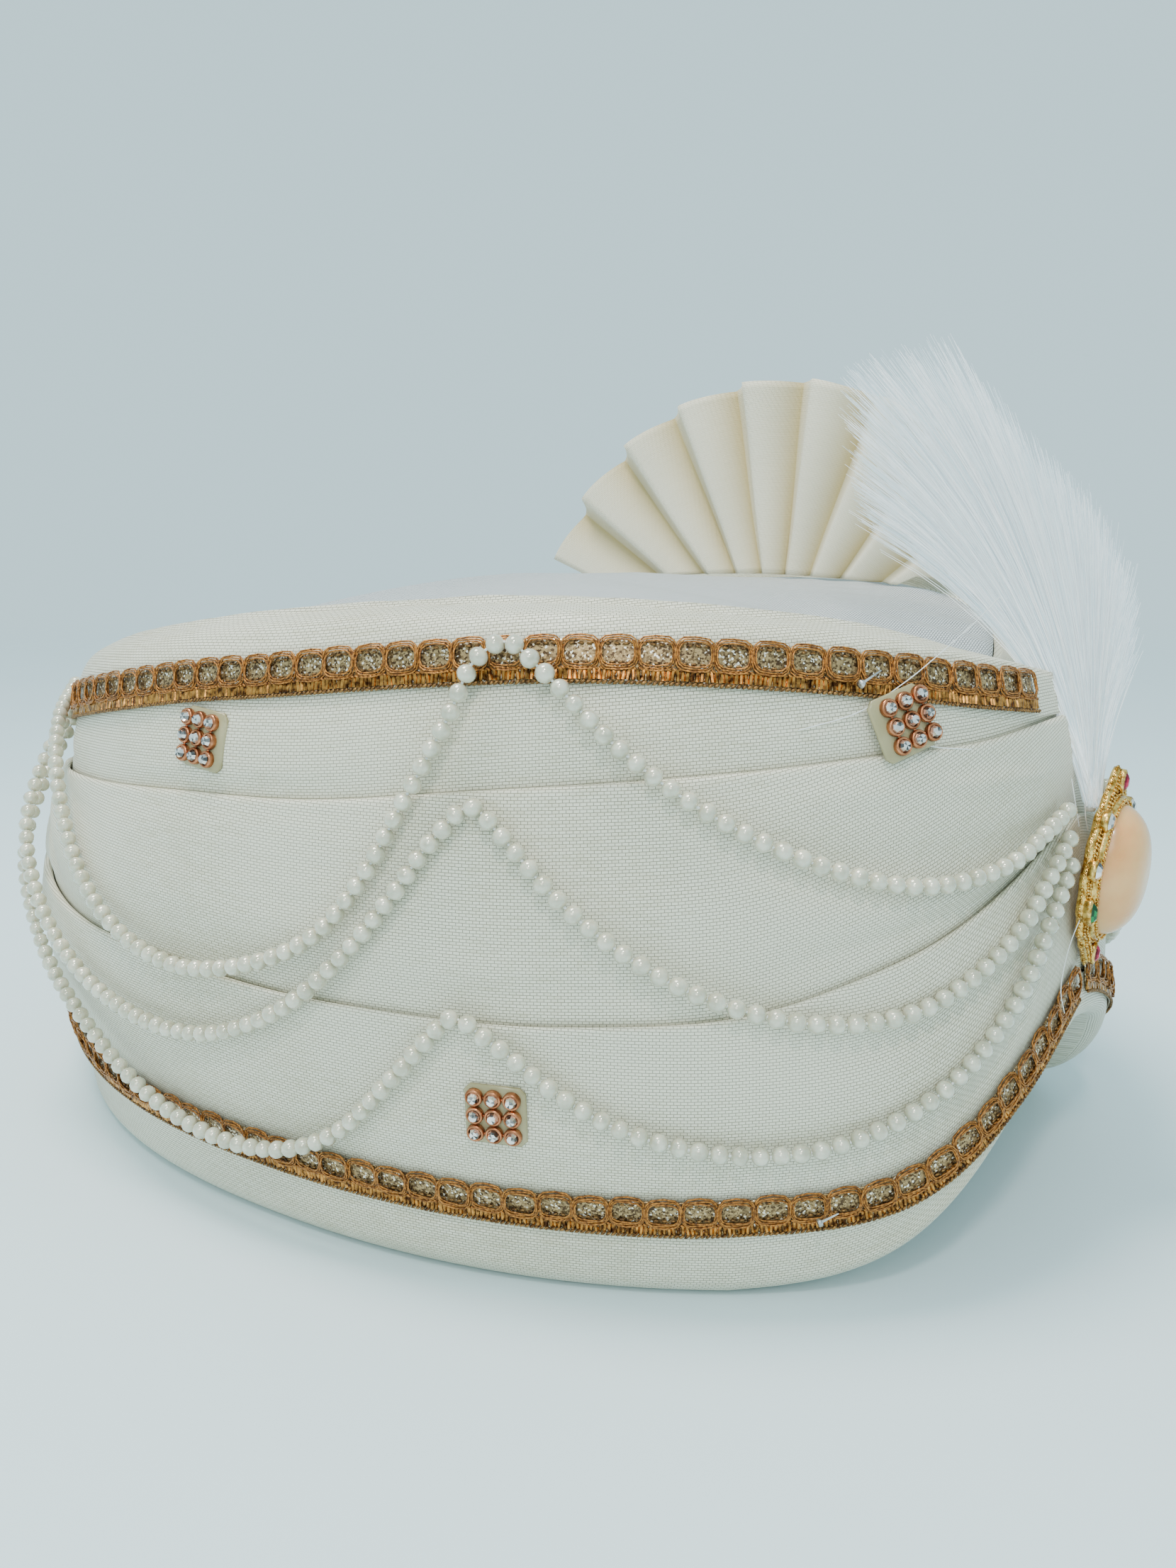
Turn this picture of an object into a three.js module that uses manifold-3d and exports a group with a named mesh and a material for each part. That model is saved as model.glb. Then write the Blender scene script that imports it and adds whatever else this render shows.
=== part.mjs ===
// A ready-made groom's turban in ivory satin: wound bands over a cap, gold braid, pearl strings,
// rhinestone squares, a brooch with a plume, and a pleated fan.
// Millimetres. +Z is up, the brooch faces -Y, and the wearer's right side is -X.
// The origin is on the table, under the middle of the whole turban's box.
import * as THREE from 'three';
import Module from 'manifold-3d';

const wasm = await Module();
wasm.setup();

// Cloth body
const bellyLength = 293;        // front to back at the widest level
const bellyWidth = 236.6;       // side to side at the widest level
const bellyHeight = 66;         // level where the sides stand out most
const hemDraw = 8.6;            // how far the hem pulls in below the belly
const frontLean = 10;           // how far the front leans out at the table
const backTaper = 17;           // how far the back draws in at backTaperHeight
const backTaperHeight = 107;
const backTaperStart = 45;
const cornerPower = 2.2;        // 2 is an ellipse, more is squarer
const rimHeight = 140.3;        // top of the highest wrap, on the table's level
const crownHeight = 140.8;      // top of the shallow crown
const headLength = 200;         // hollow for the head
const headWidth = 158;
const hollowHeight = 121;       // where the hollow's wall starts to round over
const clothWall = 3;            // cap and crown, several layers of cloth
const gap = 0.3;                // clearance between pieces
const lipRise = 1.2;            // how proud a wrap's folded top edge stands
const lipDepth = 1.6;           // thickness of that folded edge
const tuck = 6;                 // how far a wrap goes under the edge below it
const rimInset = 17.5;          // from the outer face to where the crown tucks in
const crownDrop = 3.5;          // the crown's edge lies this far under the rim
const hemRoll = 5;              // rounding of the hem at the table
const capClear = 4;             // the cap's edge stops this far above the hem's bottom

// Trims
const laceHeight = 9.7;
const laceThickness = 1.2;
const topLaceEnd = 7.5;         // degrees from the front where the top lace is tucked in
const bottomLaceEnd = 1.2;
const beadDiameter = 3.9;
const beadLift = 1.8;           // bead clearance over the plain cloth, so it passes the folded edges
const stringSteps = 27;
const cupDiameter = 3.7;
const cupHeight = 1.9;
const stoneTable = 1.7;
const stoneRise = 0.8;
const cupPitch = 3.9;
const patchSide = 12.8;         // patch of clear glue under each square
const patchThickness = 0.8;

// Brooch, plume and fan
const broochHeight = 38;
const broochWidth = 28;
const tipLength = 3.4;          // the pointed tips above and below the oval
const broochThickness = 2.2;
const broochLevel = 0.577 * rimHeight; // height of its middle
const broochStand = 5.6;        // from the cloth's front to the frame's middle plane
const broochTilt = 5;         // degrees, top forward
const cabochonHeight = 30;
const cabochonWidth = 21;
const cabochonDome = 8.4;
const bezelWall = 1.3;
const plumeLevel = 0.668 * rimHeight; // bottom of the plume's bound stem
const plumeStem = 13;
const plumeStemRadius = 1.9;
const plumeLength = 105;
const fanRadius = 84;
const fanSide = 62;             // the fan's plane, towards the wearer's left
const fanPivotForward = 40;     // pivot in front of the body's middle
const fanPivotDrop = 30.5;      // pivot below the crown's top
const fanPleats = 8;
const fanPleatDepth = 9;        // at the outer edge
const fanWall = 1.2;

const segments = 44;
const frontCrowding = 1.3;      // the steps round the body are finer at the front

// Places where the padding is pressed in (plus) or swells out (minus), each fading over a reach
// in degrees and in height.
const presses = [
  { at: 24, reach: 16, height: 20, rise: 30, depth: -3.5 },
  { at: 0, reach: 20, height: 68, rise: 36, depth: 3.6 },
  { at: 138, reach: 26, height: 103, rise: 28, depth: 6.5 },
  { at: 138, reach: 26, height: 20, rise: 25, depth: 2 },
];

// Bands of the body on one side, from the front (0 degrees) to the back (180).
// Every level is a share of rimHeight: the hem's bottom edge, the bottom lace's lower edge,
// the folded top edges of the lower and middle wraps, the top lace's lower edge, and the rim.
const bandRows = [
  { at: 0, hem: 0.31, lace: 0.362, lower: 0.655, middle: 0.815, upperLace: 0.82, rim: 0.885 },
  { at: 15, hem: 0.238, lace: 0.272, lower: 0.595, middle: 0.812, upperLace: 0.846, rim: 0.934 },
  { at: 30, hem: 0.052, lace: 0.15, lower: 0.517, middle: 0.802, upperLace: 0.877, rim: 0.968 },
  { at: 45, hem: 0, lace: 0.118, lower: 0.46, middle: 0.786, upperLace: 0.897, rim: 0.993 },
  { at: 60, hem: 0, lace: 0.113, lower: 0.435, middle: 0.765, upperLace: 0.902, rim: 1 },
  { at: 75, hem: 0, lace: 0.113, lower: 0.428, middle: 0.736, upperLace: 0.884, rim: 0.994 },
  { at: 90, hem: 0, lace: 0.115, lower: 0.428, middle: 0.711, upperLace: 0.85, rim: 0.971 },
  { at: 105, hem: 0, lace: 0.121, lower: 0.438, middle: 0.691, upperLace: 0.806, rim: 0.932 },
  { at: 120, hem: 0, lace: 0.13, lower: 0.455, middle: 0.674, upperLace: 0.765, rim: 0.894 },
  { at: 135, hem: 0, lace: 0.138, lower: 0.478, middle: 0.656, upperLace: 0.734, rim: 0.864 },
  { at: 150, hem: 0, lace: 0.142, lower: 0.5, middle: 0.641, upperLace: 0.713, rim: 0.844 },
  { at: 165, hem: 0, lace: 0.142, lower: 0.514, middle: 0.631, upperLace: 0.702, rim: 0.833 },
  { at: 180, hem: 0, lace: 0.142, lower: 0.52, middle: 0.628, upperLace: 0.699, rim: 0.829 },
];

// Chosen points of the pearl strings on one side, from the gathering at the back to the brooch:
// degrees from the front, height as a share of rimHeight, and extra lift off the cloth.
const stringRoutes = {
  upper: [
    [138, 0.798, 0], [127, 0.756, 0.5], [117, 0.67, 0.5], [108, 0.542, 0], [101, 0.467, 0],
    [93, 0.438, 0], [85.5, 0.478, 0], [80, 0.538, 0], [76, 0.627, 0], [72.5, 0.741, 0], [69, 0.855, 0.6],
    [66.8, 0.934, 1.3], [64.2, 0.959, 1.6], [61.5, 0.927, 1.4], [55, 0.823, 0.2], [48, 0.741, 0],
    [39, 0.67, 0], [29, 0.627, 0], [18, 0.634, 0], [11.5, 0.663, 0], [6.2, 0.684, 0],
  ],
  middle: [
    [139, 0.763, 0], [133, 0.684, 2.5], [126, 0.57, 3.5], [118, 0.456, 2], [109, 0.364, 0.5],
    [98.5, 0.324, 0], [90.5, 0.339, 0], [83.5, 0.413, 0], [78, 0.506, 0], [73.5, 0.606, 0],
    [70, 0.691, 0], [67, 0.738, 0], [64.5, 0.702, 0], [60, 0.62, 0], [55, 0.552, 0], [48.5, 0.492, 0],
    [38.5, 0.449, 0], [29, 0.456, 0], [17.5, 0.527, 0], [10.5, 0.599, 0], [6, 0.641, 0],
  ],
  lower: [
    [140, 0.723, 0], [136, 0.627, 2], [130, 0.499, 2.5], [120, 0.356, 1], [109, 0.257, 0.4],
    [99, 0.185, 0.8], [91, 0.16, 1.2], [85, 0.175, 0.8], [79.5, 0.228, 0], [74.5, 0.324, 0],
    [71, 0.399, 0], [68.5, 0.442, 0], [65.5, 0.413, 0], [60, 0.342, 0], [54, 0.289, 0], [45, 0.26, 0],
    [36.5, 0.274, 0], [27.5, 0.331, 0], [18, 0.428, 0], [11, 0.527, 0], [5.8, 0.599, 0],
  ],
};

// Rhinestone squares on one side: degrees from the front, height as a share of rimHeight, turn
// in its own plane, and how far its back stands off the plain body, to clear the folded edges.
const squarePlaces = [
  { name: 'front', at: 28, level: 0.848, turn: -17, lift: 2.2 },
  { name: 'back', at: 92, level: 0.79, turn: 5, lift: 0.6 },
  { name: 'low', at: 65.5, level: 0.296, turn: 0, lift: 1.1 },
];

// Locks of the plume: height and reach back of the tip over the root, its reach to the side
// (plus is the wearer's left), and half the lock's width, all as shares of plumeLength.
const plumeLocks = [
  { rise: 0.42, back: -0.05, side: 0.04, width: 0.07 },
  { rise: 0.64, back: 0.1, side: 0.1, width: 0.12 },
  { rise: 0.89, back: 0.33, side: 0.05, width: 0.15 },
  { rise: 0.84, back: 0.53, side: -0.08, width: 0.14 },
  { rise: 0.6, back: 0.44, side: -0.18, width: 0.09 },
];

// Sections of one lock from its root: share of the way up, and share of its full half width.
const lockRows = [
  { share: 0, wide: 0.2 },
  { share: 0.2, wide: 0.36 },
  { share: 0.42, wide: 0.6 },
  { share: 0.72, wide: 1 },
  { share: 1, wide: 0.45 },
];
const lockFlat = 0.65;          // a lock's depth over its width

const cloth = { color: 0xf1efe4, roughness: 0.55, metalness: 0 };
const materials = {
  satin: new THREE.MeshStandardMaterial(cloth),
  crown_satin: new THREE.MeshStandardMaterial({ ...cloth, color: 0xdcdedb }),
  fan_cloth: new THREE.MeshStandardMaterial({ ...cloth, color: 0xf2ecd6 }),
  gold_braid: new THREE.MeshStandardMaterial({ color: 0xa8712f, roughness: 0.4, metalness: 0.8 }),
  pearl: new THREE.MeshStandardMaterial({ color: 0xf3f2ea, roughness: 0.2, metalness: 0 }),
  rhinestone: new THREE.MeshStandardMaterial({ color: 0xc98a68, roughness: 0.25, metalness: 0.9 }),
  gold: new THREE.MeshStandardMaterial({ color: 0xd8a93c, roughness: 0.3, metalness: 1 }),
  peach_stone: new THREE.MeshStandardMaterial({ color: 0xf0c49a, roughness: 0.15, metalness: 0 }),
  plume_hair: new THREE.MeshStandardMaterial({ color: 0xf4f7f7, roughness: 0.5, metalness: 0 }),
};

const turban = new THREE.Group();

function addPiece(name, material, geometry, parent = turban) {
  const mesh = new THREE.Mesh(geometry, materials[material]);
  mesh.name = name;
  parent.add(mesh);
  return mesh;
}

// Closed geometry from corner points and triangles: equal corners become one, faces without
// area are left out, and the faces are turned outwards.
function solidGeometry(points, triangles) {
  const seen = new Map();
  const positions = [];
  const index = points.map((p) => {
    const key = [p.x, p.y, p.z].map((value) => Math.round(value * 1e4)).join();
    if (!seen.has(key)) {
      seen.set(key, positions.length / 3);
      positions.push(p.x, p.y, p.z);
    }
    return seen.get(key);
  });
  const faces = triangles.map((face) => face.map((corner) => index[corner]))
    .filter(([a, b, c]) => a !== b && b !== c && c !== a);
  const corner = (k) => new THREE.Vector3().fromArray(positions, 3 * k);
  let volume = 0;
  for (const [a, b, c] of faces) volume += corner(a).dot(corner(b).cross(corner(c)));
  if (volume < 0) faces.forEach((face) => face.reverse());
  const geometry = new THREE.BufferGeometry();
  geometry.setAttribute('position', new THREE.Float32BufferAttribute(positions, 3));
  geometry.setIndex(faces.flat());
  geometry.computeVertexNormals();
  return geometry;
}

// Body that runs through a list of sections, each a closed outline with as many points.
// Each four-cornered face is split along its shorter diagonal, so that faces that lie
// against each other are split alike.
function loft(sections, closed) {
  const count = sections[0].length;
  const corners = sections.flat();
  const triangles = [];
  const last = closed ? sections.length : sections.length - 1;
  for (let s = 0; s < last; s += 1) {
    const here = s * count;
    const next = ((s + 1) % sections.length) * count;
    for (let k = 0; k < count; k += 1) {
      const after = (k + 1) % count;
      const [a, b, c, d] = [here + k, next + k, next + after, here + after];
      const flip = corners[b].distanceTo(corners[d]) < corners[a].distanceTo(corners[c]);
      triangles.push(...(flip ? [[a, b, d], [b, c, d]] : [[a, b, c], [a, c, d]]));
    }
  }
  if (!closed) {
    const end = (sections.length - 1) * count;
    for (let k = 1; k < count - 1; k += 1) {
      triangles.push([0, k, k + 1], [end, end + k + 1, end + k]);
    }
  }
  return solidGeometry(corners, triangles);
}

// three.js geometry to a solid that can be joined to another, and back.
function toSolid(geometry) {
  const source = geometry.index ? geometry.toNonIndexed() : geometry;
  const at = source.getAttribute('position');
  const points = Array.from({ length: at.count }, (_, k) => new THREE.Vector3().fromBufferAttribute(at, k));
  const triangles = Array.from({ length: at.count / 3 }, (_, k) => [3 * k, 3 * k + 1, 3 * k + 2]);
  const closed = solidGeometry(points, triangles);
  return new wasm.Manifold(new wasm.Mesh({
    numProp: 3,
    vertProperties: closed.getAttribute('position').array,
    triVerts: new Uint32Array(closed.index.array),
  }));
}

function fuse(geometries) {
  const mesh = geometries.map(toSolid).reduce((whole, next) => whole.add(next)).getMesh();
  const points = [];
  for (let k = 0; k < mesh.vertProperties.length; k += mesh.numProp) {
    points.push(new THREE.Vector3().fromArray(mesh.vertProperties, k));
  }
  const triangles = [];
  for (let k = 0; k < mesh.triVerts.length; k += 3) triangles.push([...mesh.triVerts.slice(k, k + 3)]);
  return solidGeometry(points, triangles);
}

const radians = THREE.MathUtils.degToRad;
const signedPower = (value, power) => Math.sign(value) * Math.abs(value) ** power;

// Level of one band edge at an angle from the front, read smoothly from the table.
function level(column, degrees) {
  const turned = Math.abs(((degrees + 180) % 360 + 360) % 360 - 180);
  const step = bandRows[1].at - bandRows[0].at;
  const place = turned / step;
  const k = Math.min(Math.floor(place), bandRows.length - 2);
  const f = place - k;
  const row = (n) => bandRows[THREE.MathUtils.clamp(n, 0, bandRows.length - 1)][column];
  const [p0, p1, p2, p3] = [row(k - 1), row(k), row(k + 1), row(k + 2)];
  const bend = 2 * p0 - 5 * p1 + 4 * p2 - p3;
  const twist = 3 * p1 - p0 - 3 * p2 + p3;
  const share = 0.5 * (2 * p1 + (p2 - p0) * f + bend * f * f + twist * f * f * f);
  return rimHeight * Math.max(0, share);
}

// Point of the body's outer face at an angle from the front and a height, moved in by depth.
function bodyPoint(degrees, height, depth = 0) {
  const forward = Math.cos(radians(degrees));
  const side = Math.sin(radians(degrees));
  const draw = hemDraw * ((height - bellyHeight) / bellyHeight) ** 2;
  const lean = forward > 0 ? frontLean * (1 - height / (rimHeight * 0.89)) * forward ** 2 : 0;
  const above = Math.max(0, height - backTaperStart) / (backTaperHeight - backTaperStart);
  const taper = forward < 0 ? backTaper * above ** 1.3 * forward ** 2 : 0;
  const turned = Math.abs(THREE.MathUtils.euclideanModulo(degrees + 180, 360) - 180);
  const pressed = presses.reduce((sum, press) => {
    const away = ((turned - press.at) / press.reach) ** 2 + ((height - press.height) / press.rise) ** 2;
    return sum + press.depth * Math.exp(-away);
  }, 0);
  const reach = bellyLength / 2 - draw + lean - taper - depth - pressed;
  const spread = bellyWidth / 2 - draw - depth - pressed;
  const power = 2 / cornerPower;
  return new THREE.Vector3(-spread * signedPower(side, power), -reach * signedPower(forward, power), height);
}

// Point on the cap's wall, which stands off the head's hollow by a thickness.
function capPoint(degrees, height, thickness) {
  const power = 2 / cornerPower;
  const spread = headWidth / 2 + thickness;
  const reach = headLength / 2 + thickness;
  const x = -spread * signedPower(Math.sin(radians(degrees)), power);
  const y = -reach * signedPower(Math.cos(radians(degrees)), power);
  return new THREE.Vector3(x, y, height);
}

// Point of the crown's top face at a share of the way from its middle to its edge.
function crownPoint(degrees, share, below = 0) {
  const rim = level('rim', degrees);
  const edge = bodyPoint(degrees, rim, rimInset + gap);
  const height = rim - crownDrop + (crownHeight - rim + crownDrop) * (1 - share * share);
  return new THREE.Vector3(edge.x * share, edge.y * share, height - below);
}

function crownShare(degrees, thickness) {
  const edge = bodyPoint(degrees, level('rim', degrees), rimInset).setZ(0);
  return capPoint(degrees, 0, thickness).length() / edge.length();
}

const angles = Array.from({ length: segments }, (_, k) => {
  const half = segments / 2;
  const turn = k <= half ? k : k - segments;
  return Math.sign(turn) * 180 * (Math.abs(turn) / half) ** frontCrowding;
});

// The crown: a shallow dome of gathered satin and the cap's wall round the head, in one skin.
function crownSection(degrees) {
  const wallShare = crownShare(degrees, clothWall);
  const bottom = level('hem', degrees) + capClear;
  const wallTop = crownPoint(degrees, wallShare, clothWall).z;
  return [
    crownPoint(degrees, 0), crownPoint(degrees, 0.3), crownPoint(degrees, 0.6), crownPoint(degrees, 0.84),
    crownPoint(degrees, 1), crownPoint(degrees, 1, clothWall), capPoint(degrees, wallTop, clothWall),
    capPoint(degrees, bottom, clothWall), capPoint(degrees, bottom, 0),
    capPoint(degrees, Math.min(hollowHeight, level('rim', degrees) - 3 * clothWall), 0),
    crownPoint(degrees, wallShare * 0.8, clothWall), crownPoint(degrees, 0, clothWall),
  ];
}

// A wrap's visible face swells between two levels and ends in a folded edge.
function wrapFace(degrees, from, to) {
  const height = to - from;
  return [
    bodyPoint(degrees, from + gap, lipDepth - lipRise + gap),
    bodyPoint(degrees, from + 0.35 * height, -lipRise * 0.4),
    bodyPoint(degrees, from + 0.7 * height, -lipRise),
    bodyPoint(degrees, to - 1, -lipRise),
    bodyPoint(degrees, to, 0),
    bodyPoint(degrees, to - 1.4, lipDepth - lipRise - gap),
  ];
}

// The upper part of every wrap but the last is covered by nothing: the next wrap lies behind its edge.
function wrapSection(degrees, from, to, tucked) {
  const bottom = tucked ? from - tuck + gap : from;
  const top = to - tuck;
  const under = tucked ? [bodyPoint(degrees, bottom, lipDepth)] : [];
  return [
    capPoint(degrees, bottom, clothWall + gap), ...under, ...wrapFace(degrees, from, to),
    bodyPoint(degrees, top, lipDepth - gap),
    capPoint(degrees, top, clothWall + gap),
  ];
}

const seam = (degrees) => level('lace', degrees) + laceHeight / 2;

function hemSection(degrees) {
  const bottom = level('hem', degrees);
  const top = seam(degrees) - gap;
  const roll = Math.min(hemRoll, (top - bottom) / 2);
  return [
    capPoint(degrees, bottom, clothWall + gap), bodyPoint(degrees, bottom, roll),
    bodyPoint(degrees, bottom + roll * 0.3, roll * 0.3), bodyPoint(degrees, bottom + roll),
    bodyPoint(degrees, top), capPoint(degrees, top, clothWall + gap),
  ];
}

const lowerSection = (degrees) => wrapSection(degrees, seam(degrees), level('lower', degrees), false);
const middleSection = (degrees) => {
  return wrapSection(degrees, level('lower', degrees), level('middle', degrees), true);
};

// Where the top lace lies on the upper wrap: its lower and upper edges.
function topLaceSpan(degrees) {
  const low = Math.max(level('upperLace', degrees), level('middle', degrees) + 1);
  const high = Math.min(low + laceHeight, level('rim', degrees) - 1.2);
  return [low, high];
}

// The upper wrap carries the top lace on a plain stretch, then rolls over the rim to the crown.
function upperSection(degrees) {
  const from = level('middle', degrees);
  const rim = level('rim', degrees);
  const [low, high] = topLaceSpan(degrees);
  const rise = rim - high;
  const inside = crownPoint(degrees, crownShare(degrees, clothWall + gap), clothWall + 2 * gap).z;
  return [
    capPoint(degrees, from - tuck + gap, clothWall + gap), bodyPoint(degrees, from - tuck + gap, lipDepth),
    bodyPoint(degrees, from + gap, lipDepth - lipRise + gap),
    bodyPoint(degrees, low - gap), bodyPoint(degrees, high + gap),
    bodyPoint(degrees, high + 0.62 * rise, 1.7), bodyPoint(degrees, high + 0.93 * rise, 5),
    bodyPoint(degrees, rim, 9), bodyPoint(degrees, rim - 1, 13.5),
    bodyPoint(degrees, rim, rimInset).setZ(rim - crownDrop - 2 * gap),
    bodyPoint(degrees, rim, rimInset).setZ(rim - crownDrop - clothWall - 2 * gap),
    capPoint(degrees, inside, clothWall + gap),
  ];
}

addPiece('crown', 'crown_satin', loft(angles.map(crownSection), true));
addPiece('hem_band', 'satin', loft(angles.map(hemSection), true));
addPiece('wrap_lower', 'satin', loft(angles.map(lowerSection), true));
addPiece('wrap_middle', 'satin', loft(angles.map(middleSection), true));
addPiece('wrap_upper', 'satin', loft(angles.map(upperSection), true));

// A lace is a flat braid laid on the cloth between two levels, a little thicker along its middle.
function laceSection(degrees, low, high) {
  const inner = -gap;
  const outer = -gap - laceThickness;
  return [
    bodyPoint(degrees, low, inner), bodyPoint(degrees, low, outer), bodyPoint(degrees, high, outer),
    bodyPoint(degrees, high, inner),
  ];
}

function laceAngles(end) {
  const inside = angles.filter((degrees) => Math.abs(degrees) > end + 1);
  return [end, ...inside, -end].map((degrees) => (degrees + 360) % 360).sort((a, b) => a - b);
}

addPiece('lace_top', 'gold_braid', loft(laceAngles(topLaceEnd).map((degrees) => {
  const [low, high] = topLaceSpan(degrees);
  return laceSection(degrees, low + gap, high - gap);
}), false));
addPiece('lace_bottom', 'gold_braid', loft(laceAngles(bottomLaceEnd).map((degrees) => {
  const low = level('lace', degrees);
  return laceSection(degrees, low, low + laceHeight);
}), false));

// A pearl string is a round of the beads' width along its route.
function stringGeometry(route, side) {
  const lift = beadDiameter / 2 + beadLift;
  const points = route.map(([degrees, share, extra]) => {
    return bodyPoint(side * degrees, share * rimHeight, -lift - extra);
  });
  const ring = new THREE.Shape();
  ring.absarc(0, 0, beadDiameter / 2, 0, 2 * Math.PI);
  const path = new THREE.CatmullRomCurve3(points, false, 'centripetal');
  return new THREE.ExtrudeGeometry(ring, {
    steps: stringSteps, curveSegments: 4, extrudePath: path, bevelEnabled: false,
  });
}

// Nine crystals in cups on a glue patch, in its own plane with its face towards +Z.
function rhinestoneSquare() {
  const patch = new THREE.BoxGeometry(patchSide, patchSide, patchThickness);
  patch.translate(0, 0, patchThickness / 2);
  const pieces = [patch];
  const outline = [
    [0, patchThickness / 2], [cupDiameter / 2, patchThickness / 2], [cupDiameter / 2, cupHeight],
    [stoneTable / 2, cupHeight + stoneRise], [0, cupHeight + stoneRise],
  ].map(([radius, height]) => new THREE.Vector2(radius, height));
  for (let k = 0; k < 9; k += 1) {
    const cup = new THREE.LatheGeometry(outline, 8);
    cup.rotateX(Math.PI / 2);
    cup.translate(((k % 3) - 1) * cupPitch, (Math.floor(k / 3) - 1) * cupPitch, 0);
    pieces.push(cup);
  }
  return fuse(pieces);
}

const squareGeometry = rhinestoneSquare();

// Stands a square on the body, its back off the cloth and its face outwards.
function placeSquare(mesh, place, side) {
  const height = place.level * rimHeight;
  const spot = bodyPoint(side * place.at, height, -place.lift);
  const along = bodyPoint(side * (place.at + 2), height).sub(bodyPoint(side * (place.at - 2), height));
  const up = bodyPoint(side * place.at, height + 4).sub(bodyPoint(side * place.at, height - 4));
  const right = along.normalize().multiplyScalar(-side);
  const out = new THREE.Vector3().crossVectors(right, up).normalize();
  const level90 = new THREE.Vector3().crossVectors(out, right);
  mesh.quaternion.setFromRotationMatrix(new THREE.Matrix4().makeBasis(right, level90, out));
  mesh.rotateZ(radians(-side * place.turn));
  mesh.position.copy(spot);
}

for (const [sideName, side] of [['right', 1], ['left', -1]]) {
  for (const [name, route] of Object.entries(stringRoutes)) {
    addPiece(`pearls_${sideName}_${name}`, 'pearl', stringGeometry(route, side));
  }
  for (const place of squarePlaces) {
    const mesh = addPiece(`stones_${sideName}_${place.name}`, 'rhinestone', squareGeometry);
    placeSquare(mesh, place, side);
  }
}

// Brooch: an oval plate with pointed tips and a scalloped edge, a bezel, and small set stones.
function broochOutline() {
  const count = 32;
  return Array.from({ length: count }, (_, k) => {
    const turn = (2 * Math.PI * k) / count;
    const scallop = 1 + (k % 2 ? -0.035 : 0.02);
    const tip = tipLength * Math.max(0, Math.abs(Math.sin(turn)) - 0.94) / 0.06 * Math.sign(Math.sin(turn));
    return new THREE.Vector2(
      (broochWidth / 2) * Math.cos(turn) * scallop,
      (broochHeight / 2) * Math.sin(turn) * scallop + tip,
    );
  });
}

function setStone(radius, height, x, y, stretch = 1) {
  const outline = [[0, -0.5], [radius, -0.5], [radius, height * 0.6], [radius * 0.5, height], [0, height]];
  const stone = new THREE.LatheGeometry(outline.map(([r, z]) => new THREE.Vector2(r, z)), 8);
  stone.rotateX(Math.PI / 2);
  stone.scale(1, stretch, 1);
  stone.translate(x, y, broochThickness / 2);
  return stone;
}

function broochFrame() {
  const plate = new THREE.ExtrudeGeometry(new THREE.Shape(broochOutline()), {
    depth: broochThickness, bevelEnabled: false,
  });
  plate.translate(0, 0, -broochThickness / 2);
  const bezelEdge = 1 + 2 * bezelWall / cabochonWidth;
  const bezelOutline = [[1, 0], [bezelEdge, 0], [bezelEdge, 1], [1, 1], [1, 0]];
  const bezel = new THREE.LatheGeometry(bezelOutline.map(([r, z]) => new THREE.Vector2(r, z)), 18);
  bezel.rotateX(Math.PI / 2);
  const bezelHeight = 1.8;
  bezel.scale(cabochonWidth / 2 + gap, cabochonHeight / 2 + gap, bezelHeight);
  bezel.translate(0, 0, broochThickness / 2 - 0.2);
  const pieces = [plate, bezel];
  for (let k = 0; k < 8; k += 1) {
    const turn = radians(22.5 + 45 * k);
    const x = Math.cos(turn) * (broochWidth / 2 - 1.3);
    const y = Math.sin(turn) * (broochHeight / 2 - 1.5);
    pieces.push(setStone(1.1, 1.6, x, y));
  }
  for (const end of [1, -1]) {
    pieces.push(setStone(1.2, 1.7, 0, end * (broochHeight / 2 + tipLength * 0.25), 1.9));
    pieces.push(setStone(1.0, 1.5, end * (broochWidth / 2 - 1.2), 0, 1.9));
  }
  return fuse(pieces);
}

function cabochon() {
  const steps = 5;
  const outline = [new THREE.Vector2(0, 0)];
  for (let k = 0; k <= steps; k += 1) {
    const turn = (Math.PI / 2) * (k / steps);
    outline.push(new THREE.Vector2(Math.cos(turn), Math.sin(turn)));
  }
  outline[outline.length - 1].x = 0;
  const stone = new THREE.LatheGeometry(outline, 18);
  stone.rotateX(Math.PI / 2);
  stone.scale(cabochonWidth / 2, cabochonHeight / 2, cabochonDome);
  stone.translate(0, 0, broochThickness / 2 + gap);
  return stone;
}

const brooch = new THREE.Group();
brooch.position.set(0, bodyPoint(0, broochLevel, -broochStand).y, broochLevel);
brooch.rotation.x = radians(90 + broochTilt);
turban.add(brooch);
addPiece('brooch_frame', 'gold', broochFrame(), brooch);
addPiece('brooch_stone', 'peach_stone', cabochon(), brooch);

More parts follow.
